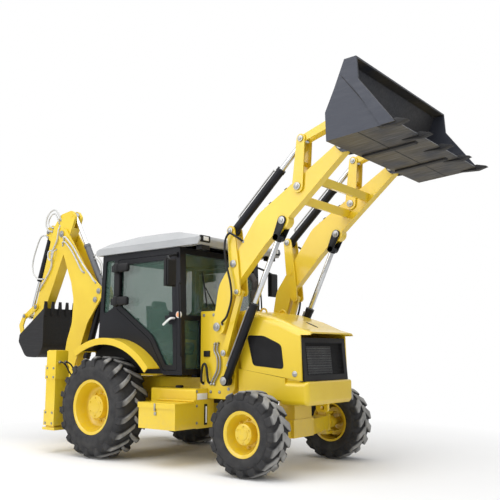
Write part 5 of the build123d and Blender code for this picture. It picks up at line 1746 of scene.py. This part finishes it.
@dataclass
class Backhoe:
    """Pins, pipes and hose loops of the backhoe."""

    mid: float = -0.150
    boom_foot: tuple[float, float] = (-1.700, 0.680)
    boom_top: tuple[float, float] = (-1.010, 2.110)
    stick_base: tuple[float, float] = (-0.935, 2.235)
    stick_pin: tuple[float, float] = (-1.870, 3.190)
    stick_tail: tuple[float, float] = (-1.690, 3.480)
    hoe_base: tuple[float, float] = (-2.290, 3.270)
    rocker_pin: tuple[float, float] = (-2.500, 2.060)
    rocker_end: tuple[float, float] = (-2.764, 1.918)
    hoe_pin: tuple[float, float] = (-2.530, 1.740)
    hoe_ear: tuple[float, float] = (-2.794, 1.598)

    def ends(self, out: float) -> list[tuple[float, int]]:
        """Both ends of a pin of this half length."""
        return [(self.mid + side.value * out, side.value) for side in Side]

    def pins(self) -> None:
        """Caps of all the backhoe's pins."""
        Hardware.caps("boom_foot_caps", "kingpost", self.boom_foot, self.ends(0.154), 0.042)
        Hardware.caps("boom_ram_caps", "boom", self.boom_top, self.ends(0.123), 0.032)
        Hardware.caps("stick_ram_caps", "boom", self.stick_base, self.ends(0.123), 0.032)
        Hardware.caps("stick_pin_caps", "boom", self.stick_pin, self.ends(0.127), 0.040)
        Hardware.caps("hoe_ram_caps", "stick", self.hoe_base, self.ends(0.076), 0.028)
        Hardware.caps("rocker_pin_caps", "stick", self.rocker_pin, self.ends(0.112), 0.028)
        Hardware.caps("hoe_pin_caps", "stick", self.hoe_pin, self.ends(0.112), 0.028)
        Hardware.caps("rocker_end_caps", "rocker", self.rocker_end, self.ends(0.137), 0.024)
        Hardware.caps("hoe_ear_caps", "hoe_bucket", self.hoe_ear, self.ends(0.139), 0.024)

    def ram_pipe(self, name: str, body: str, base: tuple[float, float], tip: tuple[float, float],
                 radius: float, near: float, far: float, hand: int, finish: str) -> None:
        """A pipe along a cylinder's barrel.

        Args:
            name: The pipe's name.
            body: The barrel's body.
            base: The barrel's pin.
            tip: The rod's pin.
            radius: The barrel's radius.
            near: Where the pipe starts, from the barrel's pin.
            far: Where it ends.
            hand: Sign of the side of the barrel, seen along the machine's left.
            finish: Name of its finish.
        """
        end, bend, crest = radius - 0.002, radius + 0.016, radius + 0.020
        route = ((near, end), (near + 0.01, bend), (near + 0.04, crest), ((near + far) / 2, crest),
                 (far - 0.04, crest), (far - 0.01, bend), (far, end))
        Hardware.ram_line(name, body, base, tip, self.mid, route, 0.009, finish, hand)

    def hoses(self) -> None:
        """Hoses on the stick, the boom and the stick's cylinder."""
        face = self.mid - 0.080
        side = face - 0.024
        Hardware.hose("stick_loop_high", "stick", [
            at(-1.965, face, 3.44), at(-1.975, side, 3.50), at(-2.060, side - 0.010, 3.600),
            at(-2.180, side - 0.010, 3.595), at(-2.285, side - 0.010, 3.500),
            at(-2.305, side - 0.008, 3.390), at(-2.250, side, 3.290), at(-2.190, face, 3.270)], 0.014,
            "hose_guard")
        Hardware.hose("stick_loop_inner", "stick", [
            at(-2.000, face, 3.395), at(-2.010, side, 3.450), at(-2.075, side - 0.006, 3.540),
            at(-2.170, side - 0.006, 3.530), at(-2.235, side - 0.006, 3.450),
            at(-2.235, side - 0.004, 3.370), at(-2.170, face, 3.330)], 0.012, "hose_guard")
        Hardware.hose("stick_hose_side", "stick", [
            at(-1.985, face, 3.330), at(-1.985, side, 3.270), at(-2.010, side, 3.120),
            at(-2.075, side, 3.010), at(-2.140, side, 2.900), at(-2.130, side, 2.780),
            at(-2.150, side, 2.660), at(-2.270, side, 2.500), at(-2.400, side, 2.360),
            at(-2.440, face, 2.330)], 0.012, "hose_guard")
        Hardware.hose("stick_hose_ring", "stick", [
            at(-2.050, face, 2.960), at(-2.055, side - 0.026, 2.920), at(-2.080, side - 0.030, 2.830),
            at(-2.140, side - 0.030, 2.790), at(-2.190, side - 0.030, 2.850),
            at(-2.180, side - 0.028, 2.930), at(-2.150, face, 2.960)], 0.011, "hose_guard")
        Hardware.hose("stick_hose_edge", "stick", [
            at(-2.300, face, 3.190), at(-2.330, side, 3.215), at(-2.440, side - 0.004, 3.190),
            at(-2.540, side - 0.004, 3.030), at(-2.625, side - 0.004, 2.800),
            at(-2.610, side - 0.004, 2.630), at(-2.510, side, 2.530), at(-2.420, side, 2.505),
            at(-2.370, face, 2.505)], 0.012, "hose_guard")
        face = self.mid - 0.113
        side = face - 0.026
        Hardware.hose("boom_hose_front", "boom", [
            at(-1.815, face, 3.090), at(-1.800, side, 3.130), at(-1.730, side, 3.110),
            at(-1.560, side, 2.960), at(-1.420, side, 2.800), at(-1.280, side, 2.640),
            at(-1.130, side, 2.500), at(-1.040, side, 2.400), at(-1.020, face, 2.370)], 0.013, "hose_guard")
        Hardware.hose("boom_hose_inner", "boom", [
            at(-1.840, face, 3.010), at(-1.820, side, 3.050), at(-1.750, side, 3.040),
            at(-1.590, side, 2.900), at(-1.460, side, 2.740), at(-1.330, side, 2.570),
            at(-1.300, face, 2.540)], 0.012, "hose_guard")
        face = self.mid + 0.113
        side = face + 0.026
        Hardware.hose("boom_hose_left", "boom", [
            at(-1.815, face, 3.090), at(-1.800, side, 3.130), at(-1.730, side, 3.110),
            at(-1.560, side, 2.960), at(-1.420, side, 2.800), at(-1.280, side, 2.640),
            at(-1.250, face, 2.610)], 0.013, "hose_guard")
        run = heading(self.stick_base, self.stick_tail)
        off = Vector((run.z, 0.0, -run.x))
        foot = at(self.stick_base[0], self.mid, self.stick_base[1])
        for index, (near, far, bulge) in enumerate(((0.22, 0.62, 0.150), (0.30, 0.56, 0.110))):
            middle = (near + far) / 2
            Hardware.hose(f"stick_ram_hose_{index}", "stick_barrel", [
                foot + run * near + off * 0.064, foot + run * (near + 0.02) + off * bulge * 0.75,
                foot + run * middle + off * bulge, foot + run * (far - 0.02) + off * bulge * 0.75,
                foot + run * far + off * 0.064], 0.011, "hose_guard")

    def build(self) -> None:
        """Builds the backhoe's fittings."""
        self.pins()
        self.ram_pipe("boom_ram_pipe", "boom_barrel", self.boom_top, (-1.400, 1.000), 0.048, 0.16, 0.86, 1,
                      "black_paint")
        self.ram_pipe("hoe_ram_pipe", "hoe_barrel", self.hoe_base, self.rocker_end, 0.044, 0.14, 0.78, -1,
                      "zinc_steel")
        self.hoses()


@dataclass
class Undercarriage:
    """Tank plate and gauge, toolbox latch, step treads and stabiliser ports."""

    leg_x: float = -0.850
    tank_front: float = 1.475

    def tank(self) -> None:
        """Blank plate, sight gauge and caps of the tanks."""
        x = self.tank_front
        plate = Bench.block("tank_plate", at(x - 0.001, -0.725, 0.772), at(x + 0.004, -0.545, 0.845), 0.001)
        fit(plate, "chassis", "white_plastic")
        gauge = Bench.block("gauge_frame", at(x - 0.001, -0.600, 0.470), at(x + 0.012, -0.550, 0.715),
                            0.005)
        fit(gauge, "chassis", "black_plastic")
        tube = Bench.bar("gauge_tube", at(x + 0.012, -0.575, 0.495), at(x + 0.012, -0.575, 0.690), 0.010,
                         16)
        fit(tube, "chassis", "clear_lens")
        Hardware.bolts("tank_bolts", "chassis", [at(x, -0.73, z) for z in (0.50, 0.70, 0.87)],
                       Axis.X, 1, 0.012)
        cap = [(0.0, 0.0), (0.0, 0.050), (0.022, 0.050), (0.030, 0.044), (0.030, 0.0)]
        for side in Side:
            place = at(1.10, side.value * 0.640, 0.899)
            filler = Bench.turned(f"filler_cap_{side.word}", cap, place, Axis.Z, 28)
            fit(filler, "chassis", "black_plastic")

    def toolbox(self) -> None:
        """Latches of the toolbox and its lid, and the treads of the step."""
        staple = Bench.block("box_staple", at(1.140, -1.114, 0.600), at(1.172, -1.098, 0.640), 0.003)
        fit(staple, "chassis", "zinc_steel")
        hasp = Bench.block("lid_hasp", at(1.145, -1.122, 0.650), at(1.167, -1.110, 0.738), 0.003)
        fit(hasp, "toolbox_lid", "zinc_steel")
        treads = []
        for z in (0.493, 0.730):
            cleat = Bench.block(f"tread_{z}", at(0.89, 0.79, z - 0.001), at(0.905, 0.95, z + 0.005), 0.002)
            treads.append(Hardware.row(cleat, 16, (0.036, 0.0, 0.0)))
        fit(Bench.join("step_treads", treads), "chassis", "black_plastic")

    def legs(self) -> None:
        """Hose ports, hoses, bolts and caps of the stabilisers' sleeves."""
        face = self.leg_x + 0.100
        for side in Side:
            hand = side.value
            ports = []
            for y in (0.975, 1.065):
                ports.append(Bench.bar(f"leg_port_{side.word}_{y}", at(face - 0.002, hand * y, 1.200),
                                       at(face + 0.030, hand * y, 1.200), 0.020, 6, 0.003))
            fit(Bench.join(f"leg_ports_{side.word}", ports), "chassis", "zinc_steel")
            for index, y in enumerate((0.975, 1.065)):
                Hardware.hose(f"leg_hose_{side.word}_{index}", "chassis", [
                    at(face + 0.030, hand * y, 1.200), at(face + 0.065, hand * y, 1.198),
                    at(face + 0.105, hand * (y - 0.03), 1.160), at(face + 0.115, hand * (y - 0.09), 1.06),
                    at(face + 0.080, hand * 0.880, 0.985),
                    at(face - 0.030, hand * (0.86 - 0.05 * index), 0.980)], 0.010)
            Hardware.bolts(f"leg_bolts_{side.word}", "chassis",
                           [at(x, hand * 1.130, z) for z in (1.00, 1.12, 0.39, 0.53)
                            for x in (-0.92, -0.78)], Axis.Y, hand, 0.012)
            top = flank_block(f"leg_cap_{side.word}", hand, (-0.94, 0.93, 1.345),
                              (-0.76, 1.11, 1.362), 0.005)
            fit(top, "chassis", "yellow_paint")

    def build(self) -> None:
        """Builds the undercarriage's fittings."""
        self.tank()
        self.toolbox()
        self.legs()


@dataclass
class Studio:
    """Pale floor, soft light and the camera at the photograph's place."""

    eye: Point = (7.1761 + REAR_AXLE_X, -7.0149, 1.3495)
    yaw: float = 37.918
    pitch: float = 8.287
    pale: float = 1.0
    pool: float = 2.6

    def floor(self) -> None:
        """Lays a wide plain floor that shows white to the camera and keeps the shadow."""
        Bench.clear()
        bpy.ops.mesh.primitive_circle_add(vertices=96, radius=160.0, fill_type="NGON",
                                          location=(0.0, 0.0, -0.001))
        floor = Bench.settle("studio_floor")
        graph = Graph("studio_floor")
        grain = graph.noise(0.6, 3.0)
        graph.set(Base_Color=graph.blend(grain, (0.88, 0.88, 0.88), (0.92, 0.92, 0.92)), Roughness=0.95)
        graph.set(Specular_IOR_Level=0.0)
        split = graph.parts(graph.place)
        square = graph.math("ADD", graph.math("POWER", split.outputs["X"], 2.0),
                            graph.math("POWER", split.outputs["Y"], 2.0))
        away = graph.span(graph.math("SQRT", square), self.pool, 2.2 * self.pool)
        seen = graph.add("ShaderNodeLightPath").outputs["Is Camera Ray"]
        white = graph.add("ShaderNodeEmission")
        white.inputs["Color"].default_value = (1.0, 1.0, 1.0, 1.0)
        white.inputs["Strength"].default_value = self.pale
        mix = graph.add("ShaderNodeMixShader")
        graph.link(graph.math("MULTIPLY", away, seen), mix.inputs[0])
        graph.link(graph.shader.outputs["BSDF"], mix.inputs[1])
        graph.link(white.outputs["Emission"], mix.inputs[2])
        graph.link(mix.outputs["Shader"], graph.output.inputs["Surface"])
        floor.data.materials.append(graph.material)

    def world(self) -> None:
        """Sets an even pale surround."""
        world = bpy.data.worlds.new("studio_surround")
        bpy.context.scene.world = world
        world.use_nodes = True
        tree = world.node_tree
        surround = tree.nodes["Background"]
        surround.inputs["Color"].default_value = (1.0, 1.0, 1.0, 1.0)
        surround.inputs["Strength"].default_value = 0.42
        seen = tree.nodes.new("ShaderNodeBackground")
        seen.inputs["Color"].default_value = (1.0, 1.0, 1.0, 1.0)
        seen.inputs["Strength"].default_value = self.pale
        rays = tree.nodes.new("ShaderNodeLightPath")
        glass = tree.nodes.new("ShaderNodeMath")
        glass.operation = "MAXIMUM"
        tree.links.new(rays.outputs["Is Camera Ray"], glass.inputs[0])
        tree.links.new(rays.outputs["Is Transmission Ray"], glass.inputs[1])
        shown = tree.nodes.new("ShaderNodeMath")
        shown.operation = "MAXIMUM"
        tree.links.new(glass.outputs["Value"], shown.inputs[0])
        tree.links.new(rays.outputs["Is Glossy Ray"], shown.inputs[1])
        mix = tree.nodes.new("ShaderNodeMixShader")
        tree.links.new(shown.outputs["Value"], mix.inputs[0])
        tree.links.new(surround.outputs["Background"], mix.inputs[1])
        tree.links.new(seen.outputs["Background"], mix.inputs[2])
        tree.links.new(mix.outputs["Shader"], tree.nodes["World Output"].inputs["Surface"])

    def lamp(self, name: str, place: Point, aim: Point, size: float, power: float) -> None:
        """Hangs one soft area lamp.

        Args:
            name: The lamp's name.
            place: Where it hangs.
            aim: What it looks at.
            size: Width of its square face.
            power: Its power in watts.
        """
        Bench.clear()
        bpy.ops.object.light_add(type="AREA", location=place)
        lamp = bpy.context.active_object
        lamp.name = name
        lamp.data.size = size
        lamp.data.energy = power
        lamp.rotation_euler = (Vector(aim) - Vector(place)).to_track_quat("-Z", "Y").to_euler()

    def camera(self) -> None:
        """Sets the camera at the photograph's angle."""
        Bench.clear()
        bpy.ops.object.camera_add(location=self.eye)
        camera = bpy.context.active_object
        camera.name = "photo_camera"
        camera.data.sensor_width = SENSOR_MM
        camera.data.lens = FOCAL_PX / FRAME_PX * SENSOR_MM
        camera.data.clip_end = 1000.0
        camera.rotation_euler = (math.radians(90.0 + self.pitch), 0.0, math.radians(self.yaw))
        bpy.context.scene.camera = camera

    def build(self) -> None:
        """Sets up the whole studio."""
        self.floor()
        self.world()
        self.lamp("sky_panel", (1.0, -2.0, 11.0), (0.0, 0.0, 1.0), 12.0, 1150.0)
        self.lamp("side_panel", (-3.0, -11.0, 6.5), (0.0, 0.0, 1.5), 9.0, 620.0)
        self.lamp("front_panel", (11.0, -3.0, 6.0), (0.5, 0.0, 1.8), 7.0, 120.0)
        self.camera()
        bpy.context.scene.view_settings.view_transform = "Standard"


def main() -> None:
    """Builds every sub-assembly in order."""
    logging.basicConfig(level=logging.INFO, format="%(name)s: %(message)s")
    PALETTE.dress_solids()
    for assembly in (RunningGear(), Cab(), Front(), Loader(), Backhoe(), Undercarriage(), Studio()):
        assembly.build()
        LOG.info("built %s", type(assembly).__name__)


if __name__ == "__main__":
    main()
